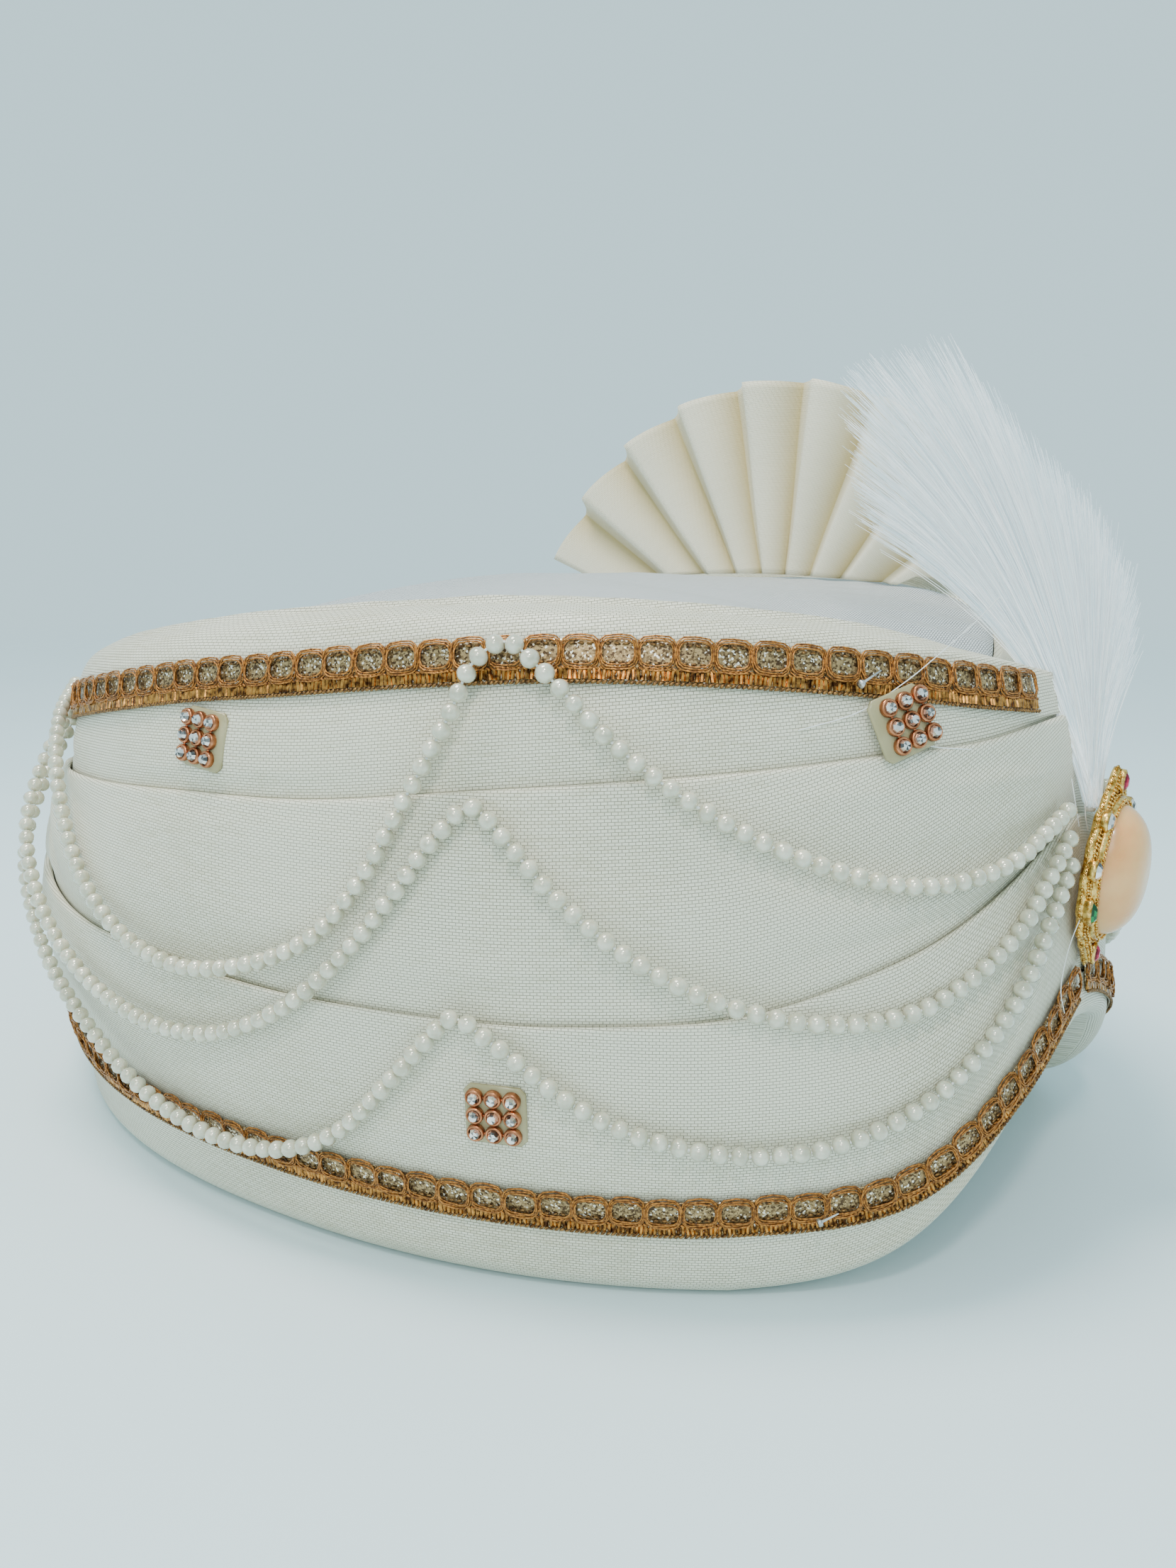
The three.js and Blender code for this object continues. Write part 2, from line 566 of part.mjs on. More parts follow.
// Plume: a bound stem behind the brooch, with locks that lean back over the turban.
function plume() {
  const front = -bodyPoint(0, plumeLevel, -lipRise - gap).y + plumeStemRadius;
  const stem = new THREE.CylinderGeometry(plumeStemRadius, plumeStemRadius, plumeStem, 10);
  stem.rotateX(Math.PI / 2);
  stem.translate(0, -front, plumeLevel + plumeStem / 2);
  const root = new THREE.Vector3(0, -front, plumeLevel + plumeStem - 4);
  const straight = level('rim', 0) - root.z;
  const locks = plumeLocks.map((lock) => {
    const rise = lock.rise * plumeLength;
    const sections = lockRows.map(({ share, wide }) => {
      const up = rise * share;
      const bent = Math.max(0, up - straight) / (rise - straight);
      const middle = new THREE.Vector3(
        lock.side * plumeLength * (0.4 * share + 0.6 * bent),
        root.y + lock.back * plumeLength * bent,
        root.z + up,
      );
      const half = lock.width * plumeLength * wide;
      return Array.from({ length: 6 }, (_, k) => {
        const turn = (Math.PI * k) / 3;
        const around = new THREE.Vector3(half * Math.cos(turn), half * lockFlat * Math.sin(turn), 0);
        return middle.clone().add(around);
      });
    });
    return loft(sections, false);
  });
  return fuse([stem, ...locks]);
}

addPiece('plume', 'plume_hair', plume());

// Height of the crown's top face, or of the rim beyond it, under a point seen from above.
function crownHeightAt(x, y) {
  const power = cornerPower / 2;
  let degrees = 90;
  let edge = crownPoint(degrees, 1);
  for (let k = 0; k < 8; k += 1) {
    const turned = bodyPoint(degrees, level('rim', degrees), rimInset + gap);
    const sine = signedPower(Math.sin(radians(degrees)), 1 / power);
    const cosine = signedPower(Math.cos(radians(degrees)), 1 / power) || 1e-9;
    const side = Math.abs(x * sine / turned.x) ** power;
    const front = Math.abs(y * cosine / turned.y) ** power;
    const round = THREE.MathUtils.radToDeg(Math.atan2(side, -Math.sign(y) * front));
    degrees = THREE.MathUtils.clamp(round, 2, 178);
    if (Math.abs(degrees - 90) < 0.5) degrees = 89.5;
    edge = crownPoint(degrees, 1);
  }
  const share = Math.hypot(x, y) / Math.hypot(edge.x, edge.y);
  return share > 0.95 ? level('rim', degrees) : crownPoint(degrees, share).z;
}

// Fan: a pleated half round that stands on the crown, tucked down where it meets the cloth.
function fan() {
  const pivotHeight = crownHeight - fanPivotDrop;
  const start = THREE.MathUtils.radToDeg(Math.asin((fanPivotDrop + 1) / fanRadius));
  const folds = 2 * fanPleats;
  const sections = Array.from({ length: folds + 1 }, (_, k) => {
    const turn = radians(start + ((180 - 2 * start) * k) / folds);
    const way = new THREE.Vector3(0, Math.cos(turn), Math.sin(turn));
    const swing = k % 2 ? 0.5 : -0.5;
    const outerRadius = fanRadius * (1 - (k % 2 ? 0.03 : 0));
    let innerRadius = fanPivotDrop / way.z;
    for (let pass = 0; pass < 4; pass += 1) {
      const y = -fanPivotForward + innerRadius * way.y;
      innerRadius = (crownHeightAt(fanSide, y) + 2 * gap - pivotHeight) / way.z;
    }
    const inner = Math.min(innerRadius, outerRadius - fanWall);
    const at = (radius, face) => new THREE.Vector3(
      fanSide + swing * fanPleatDepth * (radius / fanRadius) + face * fanWall / 2,
      -fanPivotForward + radius * way.y,
      pivotHeight + radius * way.z,
    );
    return [at(inner, -1), at(outerRadius, -1), at(outerRadius, 1), at(inner, 1)];
  });
  return loft(sections, false);
}

addPiece('fan', 'fan_cloth', fan());

const box = new THREE.Box3().setFromObject(turban);
turban.position.set(-(box.min.x + box.max.x) / 2, -(box.min.y + box.max.y) / 2, -box.min.z);
turban.updateMatrixWorld(true);

export default turban;
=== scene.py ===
import math

import bmesh
import bpy
import numpy as np
from mathutils import Matrix, Vector


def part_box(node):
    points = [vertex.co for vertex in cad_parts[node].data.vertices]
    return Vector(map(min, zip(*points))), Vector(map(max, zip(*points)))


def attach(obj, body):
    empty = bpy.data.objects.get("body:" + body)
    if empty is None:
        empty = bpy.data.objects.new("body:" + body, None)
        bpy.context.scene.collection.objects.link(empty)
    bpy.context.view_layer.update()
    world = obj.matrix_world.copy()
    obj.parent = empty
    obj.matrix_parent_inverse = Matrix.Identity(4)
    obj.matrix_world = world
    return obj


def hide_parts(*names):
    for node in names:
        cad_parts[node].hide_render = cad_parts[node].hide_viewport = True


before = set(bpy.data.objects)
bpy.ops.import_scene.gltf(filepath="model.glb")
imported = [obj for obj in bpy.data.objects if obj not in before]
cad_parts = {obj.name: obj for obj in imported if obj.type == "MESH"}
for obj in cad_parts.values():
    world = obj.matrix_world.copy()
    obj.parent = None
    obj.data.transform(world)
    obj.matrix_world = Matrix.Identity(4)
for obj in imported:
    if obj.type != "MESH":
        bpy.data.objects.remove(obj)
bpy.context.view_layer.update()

print("frame loaded")

# Lengths are in millimetres and angles in degrees until a point is placed in the frame.
# Degrees round the body run from the brooch (0) over the wearer's right (-X) to the back (180).
body = {
    "bellyLength": 293, "bellyWidth": 236.6, "bellyHeight": 66,
    "hemDraw": 8.6,          # how far the hem pulls in below the belly
    "frontLean": 10,         # how far the front leans out at the table
    "leanEnds": 0.89,        # share of rimHeight at which the lean is used up
    "backTaper": 17, "backTaperHeight": 107, "backTaperStart": 45, "backTaperBend": 1.3,
    "cornerPower": 2.2,      # 2 is an ellipse, more is squarer
    "rimHeight": 140.3, "crownHeight": 140.8,
    "headLength": 200, "headWidth": 158, "hollowHeight": 121,
    "clothWall": 3, "gap": 0.3, "lipRise": 1.2, "lipDepth": 1.6, "tuck": 6,
    "rimInset": 17.5, "crownDrop": 3.5, "hemRoll": 5, "capClear": 4,
    "laceHeight": 9.7, "laceUnderRim": 1.2,
    "columns": 480,          # steps round the body
}
gap = body["gap"]

# Where the padding is pressed in (plus) or swells out (minus): degrees from the front and their
# reach, height and its reach, and the depth
presses = [
    (24, 16, 20, 30, -3.5), (0, 20, 68, 36, 3.6),
    (138, 26, 103, 28, 6.5), (138, 26, 20, 25, 2)]

# Levels every rowStep degrees from the front to the back, as shares of rimHeight
rowStep = 15
bandRows = {
    "hem": [0.31, 0.238, 0.052, 0, 0, 0, 0, 0, 0, 0, 0, 0, 0],
    "lace": [0.362, 0.272, 0.15, 0.118, 0.113, 0.113, 0.115, 0.121, 0.13, 0.138, 0.142, 0.142, 0.142],
    "lower": [0.655, 0.595, 0.517, 0.46, 0.435, 0.428, 0.428, 0.438, 0.455, 0.478, 0.5, 0.514, 0.52],
    "middle": [0.815, 0.812, 0.802, 0.786, 0.765, 0.736, 0.711, 0.691, 0.674, 0.656, 0.641, 0.631, 0.628],
    "upperLace": [0.82, 0.846, 0.877, 0.897, 0.902, 0.884, 0.85, 0.806, 0.765, 0.734, 0.713, 0.702, 0.699],
    "rim": [0.885, 0.934, 0.968, 0.993, 1, 0.994, 0.971, 0.932, 0.894, 0.864, 0.844, 0.833, 0.829],
}

fanShape = {
    "radius": 84, "side": 62, "pivotForward": 40, "pivotDrop": 30.5,
    "pleats": 9, "pleatDepth": 6, "wall": 0.9,
    "wide": 0.74,            # share of a pleat taken by the face that is seen
    "stepsAcross": 9,        # columns in each face of a pleat
    "stepsOut": 30,          # rows from the crown to the edge
    "edgeDip": 0.014,        # how far the valleys lie inside the ridges' radius
    "bow": 1.5,              # how far a pleat's face bellies out
    "ruffle": 0.35,          # slow waves of the faces
}
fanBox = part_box("fan")
bodyMiddle = 500 * (fanBox[0].y + fanBox[1].y) + fanShape["pivotForward"]


# ---- camera first, so that the other pieces may use it
viewpoint = {
    "distance": 388.7,       # from the body's axis
    "round": 35.9,           # degrees from the wearer's right towards the front
    "aside": -1.83, "down": 11.4,
    "height": 160.8,
    "lens": 32.507,          # millimetres on a 36 mm high frame
}


def newObject(name, data):
    made = bpy.data.objects.new(name, data)
    bpy.context.scene.collection.objects.link(made)
    return made


def placeCamera():
    lens = bpy.data.cameras.new("camera")
    lens.lens = viewpoint["lens"]
    lens.clip_start = 0.01
    lens.clip_end = 50
    camera = newObject("camera", lens)
    turn = math.radians(viewpoint["round"])
    heading = math.radians(viewpoint["round"] + viewpoint["aside"])
    down = math.radians(viewpoint["down"])
    x = -viewpoint["distance"] * math.cos(turn)
    y = -viewpoint["distance"] * math.sin(turn) + bodyMiddle
    camera.location = Vector((x, y, viewpoint["height"])) * 0.001
    forward = Vector((
        math.cos(heading) * math.cos(down), math.sin(heading) * math.cos(down), -math.sin(down)))
    camera.rotation_euler = forward.to_track_quat("-Z", "Y").to_euler()
    bpy.context.scene.camera = camera


placeCamera()


# ---- shape of the body
def signedPower(value, power):
    return np.sign(value) * np.abs(value) ** power


def ease(value, low, high):
    share = np.clip((value - low) / (high - low), 0, 1)
    return share * share * (3 - 2 * share)


def fromFront(degrees):
    return np.abs((np.asarray(degrees, dtype=float) + 180) % 360 - 180)


def throughStops(stops, place):
    # smooth curve through even stops, read at places that are counted in stops
    k = np.minimum(place.astype(int), len(stops) - 2)
    f = (place - k).reshape(place.shape + (1,) * (stops.ndim - 1))
    p0, p1, p2, p3 = (stops[np.clip(k + n, 0, len(stops) - 1)] for n in (-1, 0, 1, 2))
    bend = 2 * p0 - 5 * p1 + 4 * p2 - p3
    twist = 3 * p1 - p0 - 3 * p2 + p3
    return 0.5 * (2 * p1 + (p2 - p0) * f + bend * f * f + twist * f ** 3)


def level(column, degrees):
    share = throughStops(np.array(bandRows[column], dtype=float), fromFront(degrees) / rowStep)
    return body["rimHeight"] * np.maximum(0, share)


def bodyPoint(degrees, height, depth=0.0):
    # a point on the plain cloth, or depth inside it
    degrees, height, depth = np.broadcast_arrays(
        *(np.asarray(value, dtype=float) for value in (degrees, height, depth)))
    forward = np.cos(np.radians(degrees))
    side = np.sin(np.radians(degrees))
    draw = body["hemDraw"] * ((height - body["bellyHeight"]) / body["bellyHeight"]) ** 2
    leaning = 1 - height / (body["rimHeight"] * body["leanEnds"])
    lean = body["frontLean"] * leaning * forward ** 2 * (forward > 0)
    span = body["backTaperHeight"] - body["backTaperStart"]
    above = np.maximum(0, height - body["backTaperStart"]) / span
    taper = body["backTaper"] * above ** body["backTaperBend"] * forward ** 2 * (forward < 0)
    pressed = depth + sum(
        press * np.exp(-((fromFront(degrees) - at) / reach) ** 2 - ((height - high) / rise) ** 2)
        for at, reach, high, rise, press in presses)
    reach = body["bellyLength"] / 2 - draw + lean - taper - pressed
    spread = body["bellyWidth"] / 2 - draw - pressed
    power = 2 / body["cornerPower"]
    x, y = -spread * signedPower(side, power), -reach * signedPower(forward, power)
    return np.stack([x, y, height], axis=-1)


def capPoint(degrees, height, thickness):
    # a point on the hollow for the head, or thickness outside it
    degrees, height = np.broadcast_arrays(*(np.asarray(value, dtype=float) for value in (degrees, height)))
    power = 2 / body["cornerPower"]
    x = -(body["headWidth"] / 2 + thickness) * signedPower(np.sin(np.radians(degrees)), power)
    y = -(body["headLength"] / 2 + thickness) * signedPower(np.cos(np.radians(degrees)), power)
    return np.stack([x, y, height], axis=-1)


def crownPoint(degrees, share, below=0.0):
    # a point on the crown's dome: share 0 is its middle, 1 its edge under the rim
    rim = level("rim", degrees)
    edge = bodyPoint(degrees, rim, body["rimInset"] + gap)
    drop = body["crownDrop"]
    height = rim - drop + (body["crownHeight"] - rim + drop) * (1 - share * share) - below
    return np.stack([edge[..., 0] * share, edge[..., 1] * share, height], axis=-1)


def crownShare(degrees, thickness):
    wall = capPoint(degrees, 0, thickness)
    edge = bodyPoint(degrees, level("rim", degrees), body["rimInset"])
    return np.hypot(wall[..., 0], wall[..., 1]) / np.hypot(edge[..., 0], edge[..., 1])


def topLaceSpan(degrees):
    low = np.maximum(level("upperLace", degrees), level("middle", degrees) + 1)
    return low, np.minimum(low + body["laceHeight"], level("rim", degrees) - body["laceUnderRim"])


def seamLevel(degrees):
    return level("lace", degrees) + body["laceHeight"] / 2


def toFrame(points):
    placed = np.array(points, dtype=float)
    placed[..., 1] += bodyMiddle
    return placed * 0.001


intoFrame = Matrix.Translation((0, bodyMiddle * 0.001, 0)) @ Matrix.Scale(0.001, 4)
allRound = np.linspace(0, 360, body["columns"], endpoint=False)[:, None]


def joined(*parts):
    return np.concatenate(parts, axis=1)


def capRows(*heights):
    # rows of the cloth's wall against the cap, all the way round
    return joined(*(capPoint(allRound, height, body["clothWall"] + gap) for height in heights))


# ---- meshes
def ringFaces(rows, count, closed=False, base=0):
    # quads between rings of the same count
    faces = []
    for row in range(rows if closed else rows - 1):
        low, high = base + row * count, base + (row + 1) % rows * count
        faces += [(low + k, low + (k + 1) % count, high + (k + 1) % count, high + k) for k in range(count)]
    return faces


def setSmooth(mesh, smooth=True):
    mesh.polygons.foreach_set("use_smooth", [smooth] * len(mesh.polygons))


def tidyMesh(mesh, weld=True, fill=False):
    work = bmesh.new()
    work.from_mesh(mesh)
    if weld:
        bmesh.ops.remove_doubles(work, verts=work.verts, dist=1e-6)
        bmesh.ops.dissolve_degenerate(work, edges=work.edges, dist=1e-7)
    if fill:
        bmesh.ops.holes_fill(work, edges=[edge for edge in work.edges if edge.is_boundary], sides=0)
    bmesh.ops.recalc_face_normals(work, faces=work.faces)
    work.to_mesh(mesh)
    work.free()


def gridMesh(name, points, uvs, material, closeColumns=True, closeRows=True, weld=True):
    columns, rows = points.shape[:2]
    k, j = np.meshgrid(
        np.arange(columns if closeColumns else columns - 1), np.arange(rows if closeRows else rows - 1),
        indexing="ij")
    after, above = (k + 1) % columns, (j + 1) % rows
    faces = np.stack([k * rows + j, after * rows + j, after * rows + above, k * rows + above], axis=-1)
    corners = np.stack([uvs[k, j], uvs[k + 1, j], uvs[k + 1, j + 1], uvs[k, j + 1]], axis=-2)
    mesh = bpy.data.meshes.new(name)
    mesh.from_pydata(points.reshape(-1, 3).tolist(), [], faces.reshape(-1, 4).tolist())
    layer = mesh.uv_layers.new(name="UVMap")
    layer.data.foreach_set("uv", corners.reshape(-1).astype(np.float32))
    mesh.materials.append(material)
    if weld:
        tidyMesh(mesh)
    setSmooth(mesh)
    return mesh


def addFloat(mesh, name, values):
    attribute = mesh.attributes.new(name, "FLOAT", "POINT")
    attribute.data.foreach_set("value", np.asarray(values, dtype=np.float32))


def addPiece(name, mesh, slot, *nodes):
    piece = newObject(name, mesh)
    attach(piece, "root")
    if nodes:
        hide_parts(*nodes)
    return piece


def ringUvs(height, depth):
    # the cloth unrolled, in metres: the way round the body, and the way along its profile
    run = np.hypot(np.diff(height, axis=1), np.diff(depth, axis=1))
    across = joined(np.zeros((len(height), 1)), np.cumsum(run, axis=1))
    across = joined(across, across[:, -1:] + 1)
    across = np.concatenate([across, across[:1]])
    girth = 820
    around = np.linspace(0, girth, len(across))[:, None] + 0 * across
    return np.stack([around, across], axis=-1) * 0.001


def pushOut(height, depth, amount):
    # moves a profile along its own normal in the plane of height and depth
    up = np.gradient(height, axis=1)
    inward = np.gradient(depth, axis=1)
    size = np.hypot(up, inward) + 1e-9
    return height + amount * inward / size, depth - amount * up / size


# ---- folds of the cloth
folds = {
    "seed": 11,
    "waves": 9,              # soft unevenness, as waves round the body
    "waveRise": 0.5, "creaseRise": 1.7,
    # creases that gather at the brooch and at the back: degrees and height of both ends,
    # width, and rise (minus is a groove)
    "creases": [
        [7, 93, 62, 93, 7, -0.5], [7, 89, 48, 80, 6, 0.55], [8, 86, 44, 72, 4.5, -0.55],
        [6, 82, 40, 62, 6, 0.6], [7, 76, 42, 52, 4.5, -0.5], [8, 70, 36, 42, 5, 0.5],
        [5, 104, 42, 107, 4, 0.4], [9, 66, 30, 34, 4, -0.35],
        [141, 107, 104, 84, 6, -0.5], [142, 103, 108, 72, 6, 0.6], [140, 100, 112, 62, 5, -0.5],
        [141, 98, 118, 48, 6, 0.5], [139, 104, 172, 88, 6, -0.5], [139, 100, 170, 74, 6, 0.5],
        [60, 70, 100, 74, 9, 0.35], [52, 36, 96, 33, 8, 0.35],
    ],
    # waves in each folded edge: how many round the body, where they start, and their rise
    "edgeWaves": [[5, 0.4, 0.3], [11, 2.1, 0.22], [17, 4.0, 0.14]],
}
chance = np.random.default_rng(folds["seed"])
foldWaves = [
    (chance.integers(2, 15), chance.uniform(0.02, 0.09), chance.uniform(0, 6.28), chance.uniform(0.4, 1))
    for _ in range(folds["waves"])]


def foldRise(height):
    rise = np.zeros(height.shape)
    for around, up, phase, size in foldWaves:
        rise += size * np.sin(around * np.radians(allRound) + up * height + phase)
    rise *= folds["waveRise"] / math.sqrt(folds["waves"])
    for start, startHeight, end, endHeight, width, size in folds["creases"]:
        share = np.clip((fromFront(allRound) - start) / (end - start), 0, 1)
        path = startHeight + (endHeight - startHeight) * (share + 0.35 * share * (1 - share))
        spread = width * (0.3 + 0.7 * share)
        window = np.clip(np.sin(np.pi * share), 0, None) ** 0.7
        rise += folds["creaseRise"] * size * window * np.exp(-((height - path) / spread) ** 2)
    return rise


edgeWaver = sum(
    size * np.sin(np.radians(allRound) * around + phase) for around, phase, size in folds["edgeWaves"])


# ---- materials
class Wiring:
    # a node tree; an input is fed with a value, an output, or a node, which gives its first output
    def __init__(self, tree):
        self.tree = tree

    def feed(self, target, source):
        if isinstance(source, bpy.types.Node):
            source = source.outputs[0]
        if isinstance(source, bpy.types.NodeSocket):
            self.tree.links.new(source, target)
        else:
            target.default_value = source

    def add(self, kind, feeds=None, **settings):
        node = self.tree.nodes.new(kind)
        for key, value in settings.items():
            setattr(node, key, value)
        for key, source in (feeds or {}).items():
            self.feed(node.inputs[key], source)
        return node

    def calc(self, operation, first, second):
        return self.add("ShaderNodeMath", {0: first, 1: second}, operation=operation)

    def mix(self, share, *colours):
        first, second = ((*colour, 1) if isinstance(colour, tuple) else colour for colour in colours)
        return self.add("ShaderNodeMix", {0: share, 6: first, 7: second}, data_type="RGBA").outputs[2]

    def noise(self, vector, scale, detail):
        return self.add("ShaderNodeTexNoise", {"Vector": vector, "Scale": scale, "Detail": detail})

    def remap(self, value, low, high, newLow, newHigh):
        return self.add("ShaderNodeMapRange", {
            "Value": value, "From Min": low, "From Max": high, "To Min": newLow, "To Max": newHigh})

    def bump(self, height, strength, distance, normal=None):
        feeds = {"Height": height, "Strength": strength, "Distance": distance}
        return self.add("ShaderNodeBump", feeds if normal is None else {**feeds, "Normal": normal})

    def attribute(self, name):
        return self.add("ShaderNodeAttribute", attribute_name=name).outputs["Fac"]


def startLook(name, sockets):
    # a material, its wiring, the shader's inputs and the texture coordinates
    material = bpy.data.materials.new(name)
    material.use_nodes = True
    wiring = Wiring(material.node_tree)
    shader = material.node_tree.nodes["Principled BSDF"].inputs
    for socket, value in sockets.items():
        shader[socket].default_value = value
    return material, wiring, shader, wiring.add("ShaderNodeTexCoord").outputs


def grainLook(name, scale, dark, bright, rough, sockets, bump=None, spread=(0.35, 0.65), detail=3):
    # clouded colour and roughness; rough is for dark and bright grain, bump a strength and a distance
    material, w, shader, places = startLook(name, sockets)
    grain = w.noise(places["Object"], scale, detail)
    w.feed(shader["Base Color"], w.mix(w.remap(grain, *spread, 0, 1), dark, bright))
    w.feed(shader["Roughness"], w.remap(grain, 0.3, 0.7, *rough))
    if bump:
        w.feed(shader["Normal"], w.bump(grain, *bump))
    return material


def startTree(name, kind, inputs, outputs):
    # a node group with named sockets: its wiring, what comes in and what goes out
    group = bpy.data.node_groups.new(name, kind)
    for title, socket, value in inputs:
        made = group.interface.new_socket(name=title, in_out="INPUT", socket_type="NodeSocket" + socket)
        if value is not None:
            made.default_value = value
    for title, socket in outputs:
        group.interface.new_socket(name=title, in_out="OUTPUT", socket_type="NodeSocket" + socket)
    wiring = Wiring(group)
    return wiring, wiring.add("NodeGroupInput").outputs, wiring.add("NodeGroupOutput").inputs


def makeWeaveGroup():
    # satin weave: long floats in staggered rows, read in millimetres from the piece's UV map
    w, enter, leave = startTree("satinWeave", "ShaderNodeTree", [
        ("Vector", "Vector", None), ("Float Length", "Float", 1.1), ("Row Height", "Float", 0.65),
        ("Unevenness", "Float", 0.12)], [("Height", "Float"), ("Tone", "Float")])
    flat = w.add("ShaderNodeVectorMath", {0: enter["Vector"], "Scale": 1000}, operation="SCALE")
    wander = w.add("ShaderNodeTexNoise", {"Vector": flat, "Scale": 0.35}).outputs["Color"]
    shifted = w.add(
        "ShaderNodeVectorMath", {0: wander, 1: enter["Unevenness"], 2: flat}, operation="MULTIPLY_ADD")
    rows = w.add("ShaderNodeTexBrick", {
        "Vector": shifted, "Color1": (1, 1, 1, 1), "Color2": (0.72, 0.72, 0.72, 1), "Mortar": (0, 0, 0, 1),
        "Scale": 1, "Mortar Size": 0.08, "Mortar Smooth": 1,
        "Brick Width": enter["Float Length"], "Row Height": enter["Row Height"]}, offset=0.5)
    grey = w.add("ShaderNodeRGBToBW", {0: rows})
    drawn = w.add("ShaderNodeVectorMath", {0: flat, 1: (0.12, 1, 1)}, operation="MULTIPLY")
    slubs = w.noise(drawn, 1.3, 3)
    w.feed(leave["Height"], grey)
    w.feed(leave["Tone"], w.calc("ADD", w.calc("MULTIPLY", grey, 0.5), w.calc("MULTIPLY", slubs, 0.5)))
    return w.tree


weaveGroup = makeWeaveGroup()


def makeCloth(
        name, light, shade, weaving=(1.3, 0.65), rough=(0.36, 0.52), bump=0.6, sheen=0.12, wrinkled=0.4,
        paintedFoldShade=None):
    # weaving is the length of a float and the height of a row; the last argument is the colour of painted
    # shade and bounce light deep in a fold
    material, w, shader, places = startLook(name, {
        "Sheen Weight": sheen, "Sheen Roughness": 0.45, "Specular IOR Level": 0.45, "Anisotropic": 0.3})
    weave = w.add("ShaderNodeGroup", {
        "Vector": places["UV"], "Float Length": weaving[0], "Row Height": weaving[1]}, node_tree=weaveGroup)
    tone = weave.outputs["Tone"]
    patches = w.noise(places["Object"], 14, 4)
    share = w.calc("ADD", w.calc("MULTIPLY", patches, 0.45), w.calc("MULTIPLY", tone, 0.55))
    colour = w.mix(w.remap(share, 0.36, 0.62, 1, 0), light, shade)
    if paintedFoldShade:
        # painted shade: deep in a fold the colour goes towards that darker, yellower colour, by a float
        # attribute on the mesh
        colour = w.mix(w.attribute("paintedFoldShade"), colour, paintedFoldShade)
    w.feed(shader["Base Color"], colour)
    w.feed(shader["Roughness"], w.remap(tone, 0.2, 0.8, rough[1], rough[0]))
    pulled = w.add("ShaderNodeMapping", {"Vector": places["UV"], "Scale": (0.3, 1, 1)})
    soft = w.bump(w.noise(pulled, 110, 3), wrinkled, 0.0016)
    fine = w.bump(tone, 0.5, 0.0003, soft)
    w.feed(shader["Normal"], w.bump(weave.outputs["Height"], bump, 0.0002, fine))
    return material


satin = makeCloth("ivory_satin", (0.79, 0.75, 0.595), (0.52, 0.475, 0.31))
# the crown's satin is the same cloth, painted greyer and bluer: painted shade and a painted reflection of the
# backdrop where it lies flat in shade
shadedCrownSatin = makeCloth("crown_satin", (0.68, 0.71, 0.715), (0.52, 0.545, 0.55), (1.0, 0.6), (0.45, 0.62), 0.8)
# the fan's last colour is painted shade and bounce light for the valleys of its pleats
fanCloth = makeCloth(
    "fan_cloth", (0.86, 0.80, 0.63), (0.79, 0.72, 0.53), (1.0, 0.5), (0.5, 0.65), 0.15, 0.1, 0.1,
    (0.50, 0.38, 0.15))
threadWhite = makeCloth("thread_white", (0.86, 0.87, 0.84), (0.7, 0.71, 0.68), (0.3, 0.12))
print("cloth materials made")


# ---- wound cloth
wraps = {
    "faceRows": 40, "lipRound": 0.8, "lipRows": 8, "hemRows": 26, "rollRows": 26,
    "startDepth": 0.7,       # how far a wrap starts behind the edge below
    "swellEnds": 0.7, "swellBend": 2.2,
    # soft layers that lie over the rim: degrees of both ends, share of the roll at both ends, and rise
    "layers": [
        [16, 74, 0.42, 0.6, 0.9], [50, 118, 0.66, 0.4, 0.8], [96, 170, 0.5, 0.66, 0.8],
        [186, 262, 0.62, 0.42, 0.8], [236, 318, 0.4, 0.62, 0.9], [300, 346, 0.62, 0.46, 0.7]],
    "layerRise": 1.7, "layerFall": 0.22,
}


def ringPiece(name, node, outer, inside, height, depth, *wallDepths):
    # outer rows, then the wall's rows against the cap; heights and depths unroll them for the weave
    uvs = ringUvs(joined(height, inside[..., 2]), joined(depth, *wallDepths))
    piece = addPiece(name, gridMesh(name, toFrame(joined(outer, inside)), uvs, satin), "satin", node)


def makeWrap(name, low, high, tucked):
    radius, start = wraps["lipRound"], wraps["startDepth"]
    share = np.linspace(0, 1, wraps["faceRows"])[None]
    height = low + gap + (high - radius - low - gap) * share
    swell = 1 - (1 - np.minimum(share / wraps["swellEnds"], 1)) ** wraps["swellBend"]
    depth = start - (start + body["lipRise"]) * swell + 0 * height
    turn = np.linspace(0, math.pi, wraps["lipRows"])[None, 1:]
    height = joined(height, high - radius + radius * np.sin(turn))
    depth = joined(depth, -body["lipRise"] + radius * (1 - np.cos(turn)) + 0 * high)
    along = (height - low) / (high - low)
    hold = ease(along, 0.02, 0.16) * (1 - 0.75 * ease(along, 0.8, 0.97))
    height, depth = pushOut(height, depth, foldRise(height) * hold)
    bottom = low - body["tuck"] + gap if tucked else low
    top = high - body["tuck"]
    if tucked:
        height = joined(bottom, height)
        depth = joined(np.full_like(bottom, body["lipDepth"]), depth)
    height = joined(height, top)
    depth = joined(depth, np.full_like(top, body["lipDepth"] - gap))
    ringPiece(
        name + "_cloth", name, bodyPoint(allRound, height, depth), capRows(top, bottom),
        height, depth, depth[:, -1:] + 20, depth[:, :1] + 20)


